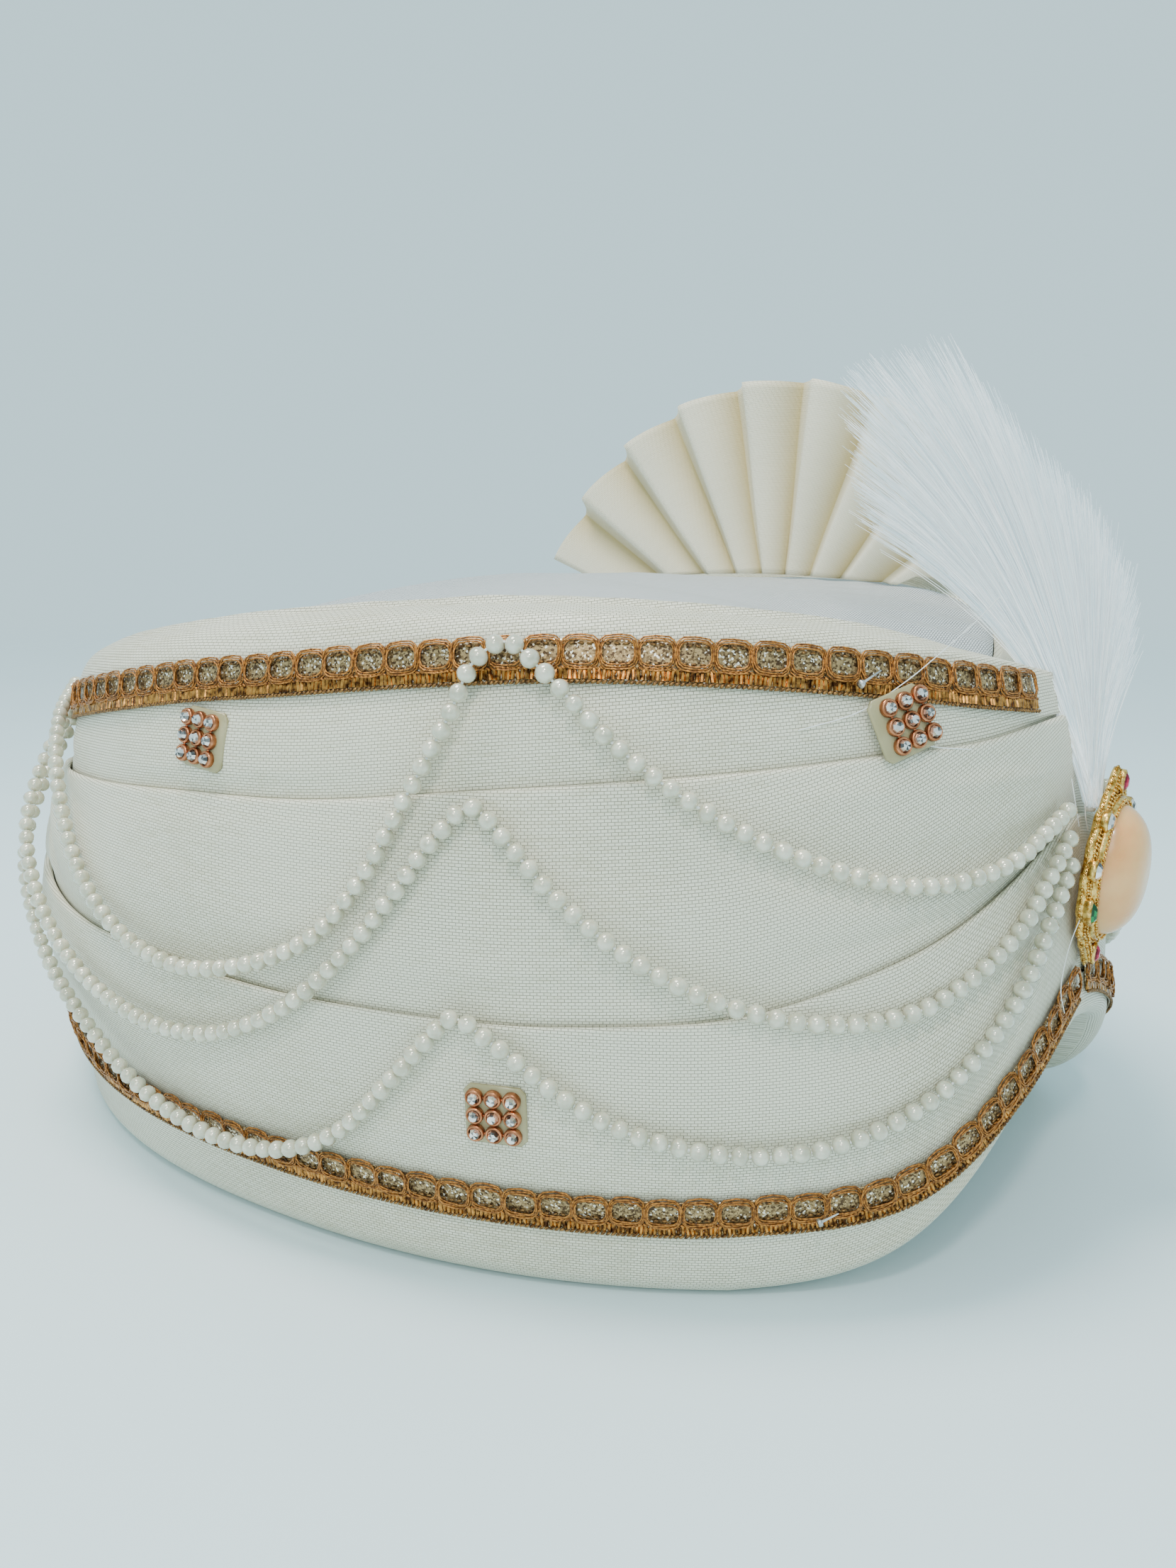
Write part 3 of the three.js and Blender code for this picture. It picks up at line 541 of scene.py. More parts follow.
def makeHem():
    bottom = level("hem", allRound)
    top = seamLevel(allRound) - gap
    roll = np.minimum(body["hemRoll"], (top - bottom) / 2)
    turn = np.linspace(0, math.pi / 2, 9)[None]
    share = np.linspace(0, 1, wraps["hemRows"])[None, 1:]
    face = bottom + roll + (top - bottom - roll) * share
    height = joined(bottom + roll * (1 - np.cos(turn)), face)
    depth = joined(roll * (1 - np.sin(turn)), 0 * face)
    hold = ease(height - bottom, 2, 7) * (1 - ease(height - top, -9, -5))
    height, depth = pushOut(height, depth, foldRise(height) * hold)
    ringPiece(
        "hem_cloth", "hem_band", bodyPoint(allRound, height, depth), capRows(top, bottom),
        height, depth, depth[:, -1:] + 20, depth[:, :1] + 20)


def rimRise(share):
    rise = 0
    for start, end, startShare, endShare, size in wraps["layers"]:
        along = np.clip((allRound - start) / (end - start), 0, 1)
        path = startShare + (endShare - startShare) * along + 0.03 * np.sin(along * 9)
        window = np.clip(np.sin(np.pi * along), 0, None) ** 0.6
        past = share - path
        layer = ease(past, -0.05, 0.02) * np.exp(-np.maximum(past, 0) / wraps["layerFall"])
        rise = rise + wraps["layerRise"] * size * window * layer
    return rise


def makeUpperWrap():
    start, rim, inset = middleEdge, level("rim", allRound), body["rimInset"]
    low, high = topLaceSpan(allRound)
    rise = rim - high
    share = np.linspace(0, 1, 18)[None]
    under = np.linspace(0, 1, 6)[None, 1:]
    face = start + gap + (low - gap - start - gap) * share
    height = joined(face, low - gap + (high - low + 2 * gap) * under)
    sunk = wraps["startDepth"] * (1 - share) ** 1.6 - 0.5 * np.sin(np.pi * share) * ease(low - start, 4, 12)
    depth = joined(sunk, 0 * high + 0 * under)
    plain = height.shape[1]
    # the roll over the rim, as heights and depths from the lace to the crown
    stops = np.array([np.broadcast_arrays(*stop) for stop in (
        (high + gap, 0.0), (high + 0.62 * rise, 1.7), (high + 0.93 * rise, 5.0),
        (rim, 9.0), (rim - 1, 13.5), (rim - body["crownDrop"] - 2 * gap, inset))])[..., 0]
    roll = throughStops(stops, np.linspace(0, len(stops) - 1, wraps["rollRows"]))[1:]
    height, depth = joined(height, roll[:, 0].T), joined(depth, roll[:, 1].T)
    rollShare = np.clip((np.arange(height.shape[1]) - plain) / (wraps["rollRows"] - 2), 0, 1)[None]
    face = (height - start) / (low - start + 1e-6)
    hold = np.where(
        rollShare > 0, ease(rollShare, 0.02, 0.2) * (1 - ease(rollShare, 0.85, 1)), ease(face, 0.05, 0.3))
    hold = hold * np.where((height > low - 1.5) & (rollShare == 0), 0, 1)
    push = foldRise(height) * hold + rimRise(rollShare) * (1 - ease(rollShare, 0.8, 1))
    height, depth = pushOut(height, depth, push)
    bottom = start - body["tuck"] + gap
    height = joined(bottom, height)
    depth = joined(np.full_like(bottom, body["lipDepth"]), depth)
    wallShare = crownShare(allRound, body["clothWall"] + gap)
    top = crownPoint(allRound, wallShare, body["clothWall"] + 2 * gap)[..., 2]
    tuckIn = bodyPoint(allRound, rim, inset)
    tuckIn[..., 2] = rim - body["crownDrop"] - body["clothWall"] - 2 * gap
    outer = bodyPoint(allRound, height, depth)
    # the last outer row stands over the rim's own inset
    outer[:, -1, :2] = tuckIn[:, 0, :2]
    ringPiece(
        "wrap_upper_cloth", "wrap_upper", outer, joined(tuckIn, capRows(top, bottom)),
        height, depth, depth[:, -1:], depth[:, -1:] + 12, depth[:, :1] + 20)


lowerEdge = level("lower", allRound) + edgeWaver
middleEdge = level("middle", allRound) + edgeWaver[::-1] * 0.8
makeWrap("wrap_lower", seamLevel(allRound), lowerEdge, False)
makeWrap("wrap_middle", lowerEdge, middleEdge, True)
makeHem()
makeUpperWrap()
print("wraps made")

crownShape = {"rings": 44, "wallRows": 8, "hollowRows": 10, "gathers": 46, "gatherRise": 0.5, "sag": 0.7}


def makeCrown():
    wall, rings = body["clothWall"], crownShape["rings"]
    radians = np.radians(allRound)
    share = np.linspace(0, 1, rings)[None]
    top = crownPoint(allRound, share)
    uneven = 2 * np.sin(3 * radians + 0.5) + 1.3 * np.sin(7 * radians)
    gathers = np.sin(crownShape["gathers"] * radians + uneven)
    fade = ease(share, 0.6, 0.97) * (1 - ease(share, 0.97, 1))
    top[..., 2] += crownShape["gatherRise"] * gathers * fade
    top[..., 2] -= crownShape["sag"] * np.abs(np.sin(1.5 * radians + 4 * share + 0.6)) * np.sin(np.pi * share)
    bottom = level("hem", allRound) + body["capClear"]
    wallShare = crownShare(allRound, wall)
    wallTop = crownPoint(allRound, wallShare, wall)[..., 2]
    hollow = np.minimum(body["hollowHeight"], level("rim", allRound) - 3 * wall)
    down = np.linspace(0, 1, crownShape["wallRows"])[None]
    up = np.linspace(0, 1, crownShape["hollowRows"])[None]
    points = joined(
        top, crownPoint(allRound, 1, wall), crownPoint(allRound, (1 + wallShare) / 2, wall),
        capPoint(allRound, wallTop + (bottom - wallTop) * down, wall),
        capPoint(allRound, bottom + (hollow - bottom) * up, 0),
        crownPoint(allRound, wallShare * 0.93, wall + 2.2),
        crownPoint(allRound, wallShare * np.linspace(0.8, 0, 12)[None], wall))
    uvs = points[..., :2].copy()
    walls = slice(rings + 2, rings + 2 + crownShape["wallRows"] + crownShape["hollowRows"])
    uvs[:, walls, 0] = allRound * 1.6
    uvs[:, walls, 1] = points[:, walls, 2]
    uvs = np.concatenate([uvs, uvs[:1]]) * 0.001
    mesh = gridMesh("crown_cloth", toFrame(points), uvs, shadedCrownSatin, closeRows=False)
    piece = addPiece("crown_cloth", mesh, "crown_satin", "crown")


makeCrown()
print("crown made")


# ---- pleated fan
def crownHeightAt(x, y):
    power = body["cornerPower"] / 2
    degrees = 90.0
    for _ in range(8):
        spot = bodyPoint(degrees, level("rim", degrees), body["rimInset"] + gap)
        sideSize = abs(spot[0] / signedPower(math.sin(math.radians(degrees)), 1 / power))
        frontSize = abs(spot[1] / signedPower(math.cos(math.radians(degrees)), 1 / power))
        turn = math.atan2((abs(x) / sideSize) ** power, -math.copysign(1, y) * (abs(y) / frontSize) ** power)
        degrees = min(max(math.degrees(turn), 2), 178)
        # exactly sideways, the front size can't be read
        if abs(degrees - 90) < 0.5:
            degrees = 89.5
    edge = crownPoint(degrees, 1)
    share = math.hypot(x, y) / math.hypot(edge[0], edge[1])
    return float(level("rim", degrees) if share > 0.95 else crownPoint(degrees, share)[2])


def makeFan():
    shape = fanShape
    pivotHeight = body["crownHeight"] - shape["pivotDrop"]
    start = math.degrees(math.asin((shape["pivotDrop"] + 1) / shape["radius"]))
    foldCount = 2 * shape["pleats"]
    columns = foldCount * shape["stepsAcross"] + 1
    points = np.zeros((columns, shape["stepsOut"], 3))
    flat = np.zeros((columns, shape["stepsOut"], 2))
    paintedFoldShade = np.zeros((columns, shape["stepsOut"]))
    for k in range(columns):
        place = k / shape["stepsAcross"]
        fold = min(int(place), foldCount - 1)
        part = place - fold
        upwards = fold % 2 == 0
        rising = part if upwards else 1 - part
        spread = shape["wide"] * part if upwards else shape["wide"] + (1 - shape["wide"]) * part
        turn = math.radians(start + (180 - 2 * start) * (fold // 2 + spread) / shape["pleats"])
        swing = 0.5 * signedPower(2 * rising - 1, 0.92)
        outer = shape["radius"] * (1 - shape["edgeDip"] * rising)
        inner = shape["pivotDrop"] / math.sin(turn)
        for _ in range(4):
            y = -shape["pivotForward"] + inner * math.cos(turn)
            inner = (crownHeightAt(shape["side"], y) + 2 * gap - pivotHeight) / math.sin(turn)
        inner = min(inner, outer - 1.5)
        # painted shade: the amount rises towards each valley between the faces, where the cloth is darkened
        # and yellowed
        paintedFoldShade[k] = 0.95 * (part ** 1.7 if upwards else 1 - part ** 0.5)
        for j in range(shape["stepsOut"]):
            radius = inner + (outer - inner) * j / (shape["stepsOut"] - 1)
            grown = radius / shape["radius"]
            belly = shape["bow"] * math.sin(math.pi * part) * grown * (-1 if upwards else 1)
            ruffle = shape["ruffle"] * math.sin(radius * 0.11 + fold * 1.7)
            points[k, j] = (
                shape["side"] + swing * shape["pleatDepth"] * grown + belly + ruffle,
                -shape["pivotForward"] + radius * math.cos(turn), pivotHeight + radius * math.sin(turn))
            flat[k, j] = (radius * (math.radians(180 - 2 * start) * 1.25) * place / foldCount, radius)
    mesh = gridMesh("fan_pleats", toFrame(points), flat * 0.001, fanCloth, False, False, False)
    addFloat(mesh, "paintedFoldShade", paintedFoldShade.reshape(-1))
    piece = addPiece("fan_pleats", mesh, "fan_cloth", "fan")
    wall = piece.modifiers.new("wall", "SOLIDIFY")
    wall.thickness = shape["wall"] * 0.001
    wall.offset = 0
    return piece


fan = makeFan()
print("fan made")


# ---- geometry nodes
def startGrowth(name, inputs):
    # a tree that reads its line as a curve, and the function that paints and hands out what it makes
    w, enter, leave = startTree(
        name, "GeometryNodeTree", [("Geometry", "Geometry", None), *inputs, ("Material", "Material", None)],
        [("Geometry", "Geometry")])

    def finish(shape):
        plain = w.add("GeometryNodeRealizeInstances", {0: shape})
        painted = w.add("GeometryNodeSetMaterial", {"Geometry": plain, "Material": enter["Material"]})
        w.feed(leave[0], painted)
        return w.tree

    return w, enter, w.add("GeometryNodeMeshToCurve", {0: enter["Geometry"]}), finish


def grow(name, mesh, tree, values):
    # runs a tree on a guide mesh and returns the plain mesh that it makes
    guide = newObject(name, mesh)
    modifier = guide.modifiers.new("nodes", "NODES")
    modifier.node_group = tree
    for item in tree.interface.items_tree:
        if item.item_type == "SOCKET" and item.in_out == "INPUT" and item.name in values:
            modifier[item.identifier] = values[item.name]
    bpy.context.view_layer.update()
    graph = bpy.context.evaluated_depsgraph_get()
    grown = bpy.data.meshes.new_from_object(
        guide.evaluated_get(graph), preserve_all_data_layers=True, depsgraph=graph)
    guide.modifiers.remove(modifier)
    bpy.data.objects.remove(guide)
    grown.name = name
    return grown


def guideLine(name, points, out=None):
    # an open line of edges in the frame, with the direction that faces away from the cloth
    mesh = bpy.data.meshes.new(name)
    mesh.from_pydata(points.tolist(), [(k, k + 1) for k in range(len(points) - 1)], [])
    if out is not None:
        attribute = mesh.attributes.new("out", "FLOAT_VECTOR", "POINT")
        attribute.data.foreach_set("vector", out.reshape(-1).astype(np.float32))
    return mesh


def makeTrimTree():
    # sets a unit along a line, its X along the line and its Z away from the cloth
    w, enter, curve, finish = startGrowth("trimAlongLine", [
        ("Unit", "Object", None), ("Pitch", "Float", 0.005), ("Second Lift", "Float", 0.0),
        ("Second Size", "Float", 1.0), ("Waver", "Float", 0.05), ("Seed", "Int", 1)])
    spots = w.add("GeometryNodeResampleCurve", {"Curve": curve, "Length": enter["Pitch"]}, mode="LENGTH")
    outward = w.add("GeometryNodeInputNamedAttribute", {"Name": "out"}, data_type="FLOAT_VECTOR")
    axes = w.add(
        "FunctionNodeAxesToRotation", {0: outward, 1: w.add("GeometryNodeInputTangent")},
        primary_axis="Z", secondary_axis="X")
    second = w.calc("MODULO", w.add("GeometryNodeInputIndex"), 2)
    lift = w.calc("MULTIPLY", second, enter["Second Lift"])
    offset = w.add("ShaderNodeVectorMath", {0: outward, "Scale": lift}, operation="SCALE")
    spin = w.add("FunctionNodeRandomValue", data_type="FLOAT_VECTOR", feeds={
        0: w.calc("MULTIPLY", enter["Waver"], -1), 1: enter["Waver"], "Seed": enter["Seed"]})
    size = w.add("ShaderNodeMapRange", {"Value": second, "To Min": 1, "To Max": enter["Second Size"]})
    return finish(w.add("GeometryNodeInstanceOnPoints", {
        "Points": w.add("GeometryNodeSetPosition", {"Geometry": spots, "Offset": offset}),
        "Instance": w.add("GeometryNodeObjectInfo", {"Object": enter["Unit"]}).outputs["Geometry"],
        "Rotation": w.add("FunctionNodeRotateRotation", {0: axes, 1: spin}, rotation_space="LOCAL"),
        "Scale": size}))


def makeTubeTree():
    # a round thread or hair along each line, thinning by the line's own "thick" attribute
    w, enter, curve, finish = startGrowth("tubeAlongLine", [("Radius", "Float", 0.0002), ("Sides", "Int", 3)])
    thick = w.add("GeometryNodeInputNamedAttribute", {"Name": "thick"}, data_type="FLOAT")
    ringSize = {"Resolution": enter["Sides"], "Radius": enter["Radius"]}
    ring = w.add("GeometryNodeCurvePrimitiveCircle", ringSize, mode="RADIUS")
    tube = w.add("GeometryNodeCurveToMesh", {
        "Curve": curve, "Profile Curve": ring, "Scale": thick, "Fill Caps": True})
    return finish(w.add("GeometryNodeSetShadeSmooth", {"Geometry": tube}))


def makeBeadTree():
    # round beads along a line, each a little different
    w, enter, curve, finish = startGrowth("beadsAlongLine", [
        ("Spacing", "Float", 0.004), ("Radius", "Float", 0.002), ("Segments", "Int", 12), ("Rings", "Int", 8),
        ("Seed", "Int", 1)])
    spots = w.add("GeometryNodeResampleCurve", {"Curve": curve, "Length": enter["Spacing"]}, mode="LENGTH")
    bead = w.add("GeometryNodeMeshUVSphere", {
        "Segments": enter["Segments"], "Rings": enter["Rings"], "Radius": enter["Radius"]})
    tangent = w.add("GeometryNodeInputTangent")
    return finish(w.add("GeometryNodeInstanceOnPoints", {
        "Points": spots,
        "Instance": w.add("GeometryNodeSetShadeSmooth", {"Geometry": bead}),
        "Rotation": w.add("FunctionNodeAlignRotationToVector", {"Vector": tangent}, axis="Z"),
        "Scale": w.add("FunctionNodeRandomValue", data_type="FLOAT_VECTOR", feeds={
            0: (0.97, 0.97, 0.9), 1: (1.03, 1.03, 1.0), "Seed": enter["Seed"]})}))


trimTree, tubeTree, beadTree = makeTrimTree(), makeTubeTree(), makeBeadTree()


def addTube(name, line, radius, sides, material, slot, *nodes, thick=1.0):
    guide = guideLine(name, toFrame(line))
    addFloat(guide, "thick", np.broadcast_to(thick, len(line)))
    mesh = grow(name, guide, tubeTree, {"Radius": radius * 0.001, "Sides": sides, "Material": material})
    addPiece(name, mesh, slot, *nodes)


def unitObject(name, vertices, faces, smooth=True):
    mesh = bpy.data.meshes.new(name)
    mesh.from_pydata([tuple(c * 0.001 for c in v) for v in vertices], [], faces)
    tidyMesh(mesh)
    setSmooth(mesh, smooth)
    return newObject(name, mesh)


def spindle(name, length, width, depth, tilt=0.0):
    # a grain-like stitch, its long way along X turned by tilt
    sides, rings = 6, 3
    vertices = []
    for k in range(1, rings + 1):
        along = k / (rings + 1)
        wide = math.sin(math.pi * along) ** 0.6
        for j in range(sides):
            turn = 2 * math.pi * j / sides
            vertices.append((
                (along - 0.5) * length, wide * width / 2 * math.cos(turn), wide * depth / 2 * math.sin(turn)))
    faces = ringFaces(rings, sides)
    first, last, top = len(vertices), len(vertices) + 1, (rings - 1) * sides
    vertices += [(-length / 2, 0, 0), (length / 2, 0, 0)]
    for j in range(sides):
        after = (j + 1) % sides
        faces += [(first, after, j), (last, top + j, top + after)]
    c, s = math.cos(math.radians(tilt)), math.sin(math.radians(tilt))
    return unitObject(name, [(c * x - s * y, s * x + c * y, z) for x, y, z in vertices], faces)


def barUnit(name, width, height, depth):
    # one folded foil bar: a flat face between two bevels
    x, y, shoulder = width / 2, height / 2, depth * 0.45
    section = [(-x, 0), (-x, shoulder), (-x / 2, depth), (x / 2, depth), (x, shoulder), (x, 0)]
    vertices = [(px, py, pz) for px, pz in section for py in (-y, y)]
    count = len(section)
    faces = []
    for k in range(count):
        after = (k + 1) % count
        faces.append((2 * k, 2 * after, 2 * after + 1, 2 * k + 1))
    faces += [tuple(2 * k for k in range(count)), tuple(2 * k + 1 for k in reversed(range(count)))]
    return unitObject(name, vertices, faces, False)


def braidLoop(name, width, height, strands=3, steps=14, sides=4):
    # one braid loop: thin cords side by side on a rounded square, waving over and under each other
    cord, stepIn, stepUp, wave, layer = 0.21, 0.3, 0.46, 0.2, 0.1
    vertices, faces = [], []
    for strand in range(strands):
        faces += ringFaces(steps, sides, True, len(vertices))
        for k in range(steps):
            turn = 2 * math.pi * (k + 0.5) / steps
            c, s = math.cos(turn), math.sin(turn)
            x = (width / 2 - stepIn * strand) * math.copysign(abs(c) ** 0.55, c)
            y = (height / 2 - stepUp * strand) * math.copysign(abs(s) ** 0.75, s)
            z = wave * math.sin(3 * turn + 2.1 * strand) + layer * strand
            for j in range(sides):
                roll = 2 * math.pi * (j + 0.5) / sides
                away = cord * math.cos(roll)
                vertices.append((x + c * away, y + s * away, z + cord * math.sin(roll)))
    return unitObject(name, vertices, faces)


# ---- laces
lace = {
    "pitch": 7.2,            # one braid loop
    "loopWidth": 7.5, "loopHeight": 6.7, "loopMiddle": 5.95, "loopLift": 0.81, "loopWaver": 0.04,
    "secondLift": 0.3,       # every second loop lies this much over its neighbours
    # length, width, depth and tilt of the stitches
    "stitch": (1.35, 0.55, 0.45), "edgeStitch": (1.5, 0.7, 0.75, 28), "divideStitch": (1.35, 0.55, 0.6, -24),
    "stitchPitch": 1.7, "stitchInset": 0.75, "stitchLift": 0.855, "stitchWaver": 0.14,
    "barPitch": 0.92, "barWidth": 0.84, "barHeight": 2.1, "barDepth": 0.42,
    "barMiddle": 1.9, "barLift": 0.405,
    "edgePitch": 1.05, "edgeMiddle": 0.45, "edgeLift": 0.81, "divideInset": 0.35,
    "ribbonLow": 3.4, "ribbonHigh": 8.3,
    "ribbonFront": 0.45, "ribbonBack": 0.1,      # how far its faces stand off the cloth, past the gap
    "topEnd": 7.5, "bottomEnd": 1.2,
}


def metal(name, colour, dark, rough, scale, bump, metallic):
    return grainLook(name, scale, dark, colour, (rough + 0.12, rough), {"Metallic": metallic}, (bump, 0.0002))


braidGold = metal("braid_gold", (0.58, 0.235, 0.045), (0.14, 0.045, 0.008), 0.36, 1700, 0.9, 0.55)
edgeGold = metal("edge_gold", (0.34, 0.17, 0.045), (0.06, 0.022, 0.005), 0.36, 1500, 0.8, 0.55)
foilGold = metal("foil_gold", (0.66, 0.30, 0.07), (0.06, 0.018, 0.004), 0.16, 700, 0.3, 0.9)


def makeGlitter():
    material, w, shader, places = startLook("glitter_ribbon", {"Metallic": 0.55, "Roughness": 0.35})
    flakes = w.add("ShaderNodeTexVoronoi", {"Vector": places["Object"], "Scale": 2600})
    tone = w.add("ShaderNodeRGBToBW", {0: flakes.outputs["Color"]})
    colour = w.mix(w.remap(tone, 0.25, 0.7, 0, 1), (0.07, 0.035, 0.012), (0.46, 0.31, 0.14))
    w.feed(shader["Base Color"], w.mix(w.remap(tone, 0.78, 0.84, 0, 1), colour, (1, 0.95, 0.8)))
    w.feed(shader["Normal"], w.bump(tone, 0.9, 0.0002))
    return material


glitter = makeGlitter()


def laceGuide(name, degrees, height, lift):
    # line at a height on the body, from the far end to the near one
    along = bodyPoint(degrees + 0.5, height) - bodyPoint(degrees - 0.5, height)
    up = bodyPoint(degrees, height + 1) - bodyPoint(degrees, height - 1)
    out = np.cross(up, along)
    out /= np.linalg.norm(out, axis=1)[:, None]
    return guideLine(name, toFrame(bodyPoint(degrees, height, -lift))[::-1], out[::-1])


# each row of a lace: its unit, pitch, height over the lower edge, lift off the cloth, and metal
laceUnits = {
    "loops": (
        braidLoop("loopUnit", lace["loopWidth"], lace["loopHeight"]), lace["pitch"], lace["loopMiddle"],
        lace["loopLift"], braidGold),
    "stitches_high": (
        spindle("stitchHigh", *lace["stitch"]), lace["stitchPitch"], lace["ribbonHigh"] - lace["stitchInset"],
        lace["stitchLift"], edgeGold),
    "stitches_low": (
        spindle("stitchLow", *lace["stitch"]), lace["stitchPitch"], lace["ribbonLow"] + lace["stitchInset"],
        lace["stitchLift"], edgeGold),
    "bars": (
        barUnit("barUnit", lace["barWidth"], lace["barHeight"], lace["barDepth"]), lace["barPitch"],
        lace["barMiddle"], lace["barLift"], foilGold),
    "edge": (
        spindle("edgeUnit", *lace["edgeStitch"]), lace["edgePitch"], lace["edgeMiddle"],
        lace["edgeLift"], edgeGold),
    "divide": (
        spindle("divideUnit", *lace["divideStitch"]), lace["edgePitch"],
        lace["ribbonLow"] - lace["divideInset"], lace["edgeLift"], braidGold),
}


def makeLace(name, degrees, low):
    for number, (part, (unit, pitch, across, lift, material)) in enumerate(laceUnits.items()):
        isLoop = part == "loops"
        inner = slice(3, -3) if isLoop else slice(None)
        guide = laceGuide(part, degrees[inner], low[inner] + across, gap + lift)
        addPiece(f"{name}_{part}", grow(f"{name}_{part}", guide, trimTree, {
            "Unit": unit, "Pitch": pitch * 0.001, "Seed": number + 3, "Material": material,
            "Second Lift": lace["secondLift"] * 0.001 if isLoop else 0.0, "Second Size": 1.0,
            "Waver": lace["loopWaver"] if isLoop else lace["stitchWaver"]}), "gold_braid", name)
    rows = np.linspace(lace["ribbonLow"] - 3, lace["ribbonHigh"], 12)[None]
    height = low[:, None] + rows
    sag = 0.25 * np.cos(2 * np.pi * np.arange(len(degrees))[:, None] / 5.0)
    outer = bodyPoint(degrees[:, None], height, -gap - lace["ribbonFront"] + 0.1 * sag + 0 * rows)
    inner = bodyPoint(degrees[:, None], height, -gap - lace["ribbonBack"])[:, ::-1]
    across = joined(rows, rows[:, ::-1], rows[:, :1])
    uvs = np.stack([degrees[:, None] * 2.28 + 0 * across, across + 0 * degrees[:, None]], axis=-1) * 0.001
    mesh = gridMesh(f"{name}_ribbon", toFrame(joined(outer, inner)), uvs, glitter, False, True, False)
    tidyMesh(mesh, weld=False, fill=True)
    addPiece(f"{name}_ribbon", mesh, "gold_braid", name)


topDegrees = np.linspace(lace["topEnd"], 360 - lace["topEnd"], 700)
bottomDegrees = np.linspace(lace["bottomEnd"], 360 - lace["bottomEnd"], 700)
makeLace("lace_top", topDegrees, topLaceSpan(topDegrees)[0])
makeLace("lace_bottom", bottomDegrees, level("lace", bottomDegrees))
for unit, *_ in laceUnits.values():
    bpy.data.objects.remove(unit)
print("laces made")


# ---- pearl strings
pearls = {
    "diameter": 3.9, "lift": 1.8, "spacing": 3.97, "threadRadius": 0.28,
    "segments": 12, "rings": 8,
    # degrees from the front, height as a share of rimHeight, and extra lift off the cloth
    "upper": [
        [138, 0.798, 0], [127, 0.756, 0.5], [117, 0.67, 0.5], [108, 0.542, 0], [101, 0.467, 0],
        [93, 0.438, 0], [85.5, 0.478, 0], [80, 0.538, 0], [76, 0.627, 0], [72.5, 0.741, 0],
        [69, 0.855, 0.6], [66.8, 0.934, 1.3], [64.2, 0.959, 1.6], [61.5, 0.927, 1.4], [55, 0.823, 0.2],
        [48, 0.741, 0], [39, 0.67, 0], [29, 0.627, 0], [18, 0.634, 0], [11.5, 0.663, 0],
        [6.2, 0.684, 0]],
    "middle": [
        [139, 0.763, 0], [133, 0.684, 2.5], [126, 0.57, 3.5], [118, 0.456, 2], [109, 0.364, 0.5],
        [98.5, 0.324, 0], [90.5, 0.339, 0], [83.5, 0.413, 0], [78, 0.506, 0], [73.5, 0.606, 0],
        [70, 0.691, 0], [67, 0.738, 0], [64.5, 0.702, 0], [60, 0.62, 0], [55, 0.552, 0],
        [48.5, 0.492, 0], [38.5, 0.449, 0], [29, 0.456, 0], [17.5, 0.527, 0], [10.5, 0.599, 0],
        [6, 0.641, 0]],
    "lower": [
        [140, 0.723, 0], [136, 0.627, 2], [130, 0.499, 2.5], [120, 0.356, 1], [109, 0.257, 0.4],
        [99, 0.185, 0.8], [91, 0.16, 1.2], [85, 0.175, 0.8], [79.5, 0.228, 0], [74.5, 0.324, 0],
        [71, 0.399, 0], [68.5, 0.442, 0], [65.5, 0.413, 0], [60, 0.342, 0], [54, 0.289, 0],
        [45, 0.26, 0], [36.5, 0.274, 0], [27.5, 0.331, 0], [18, 0.428, 0], [11, 0.527, 0],
        [5.8, 0.599, 0]],
}
pearlGloss = grainLook("pearl_gloss", 420, (0.50, 0.48, 0.35), (0.72, 0.69, 0.54), (0.1, 0.2), {
    "Metallic": 0.15, "Coat Weight": 1.0, "Coat Roughness": 0.02, "Specular IOR Level": 0.7,
    "Subsurface Weight": 0.12, "Subsurface Scale": 0.002}, (0.15, 0.0001))


def centripetal(points, perSpan=12):
    # curve through all points with centripetal knots, as in the solid model
    ends = [2 * points[0] - points[1]] + list(points) + [2 * points[-1] - points[-2]]
    line = []
    for k in range(1, len(ends) - 2):
        p0, p1, p2, p3 = ends[k - 1:k + 3]
        t0 = 0.0
        t1 = t0 + math.sqrt(np.linalg.norm(p1 - p0))
        t2 = t1 + math.sqrt(np.linalg.norm(p2 - p1))
        t3 = t2 + math.sqrt(np.linalg.norm(p3 - p2))
        for t in np.linspace(t1, t2, perSpan, endpoint=False):
            a1 = (t1 - t) / (t1 - t0) * p0 + (t - t0) / (t1 - t0) * p1
            a2 = (t2 - t) / (t2 - t1) * p1 + (t - t1) / (t2 - t1) * p2
            a3 = (t3 - t) / (t3 - t2) * p2 + (t - t2) / (t3 - t2) * p3
            b1 = (t2 - t) / (t2 - t0) * a1 + (t - t0) / (t2 - t0) * a2
            b2 = (t3 - t) / (t3 - t1) * a2 + (t - t1) / (t3 - t1) * a3
            line.append((t2 - t) / (t2 - t1) * b1 + (t - t1) / (t2 - t1) * b2)
    line.append(ends[-2])
    return np.array(line)


def makeString(sideName, side, name, seed):
    lift = pearls["diameter"] / 2 + pearls["lift"]
    route = np.array(pearls[name], dtype=float)
    line = centripetal(bodyPoint(side * route[:, 0], route[:, 1] * body["rimHeight"], -lift - route[:, 2]))
    piece = f"pearls_{sideName}_{name}"
    addPiece(piece + "_beads", grow(piece + "_beads", guideLine(piece, toFrame(line)), beadTree, {
        "Spacing": pearls["spacing"] * 0.001, "Radius": pearls["diameter"] * 0.0005,
        "Segments": pearls["segments"], "Rings": pearls["rings"], "Seed": seed, "Material": pearlGloss}),
        "pearl", piece)
    addTube(piece + "_thread", line, pearls["threadRadius"], 5, threadWhite, "pearl", piece)


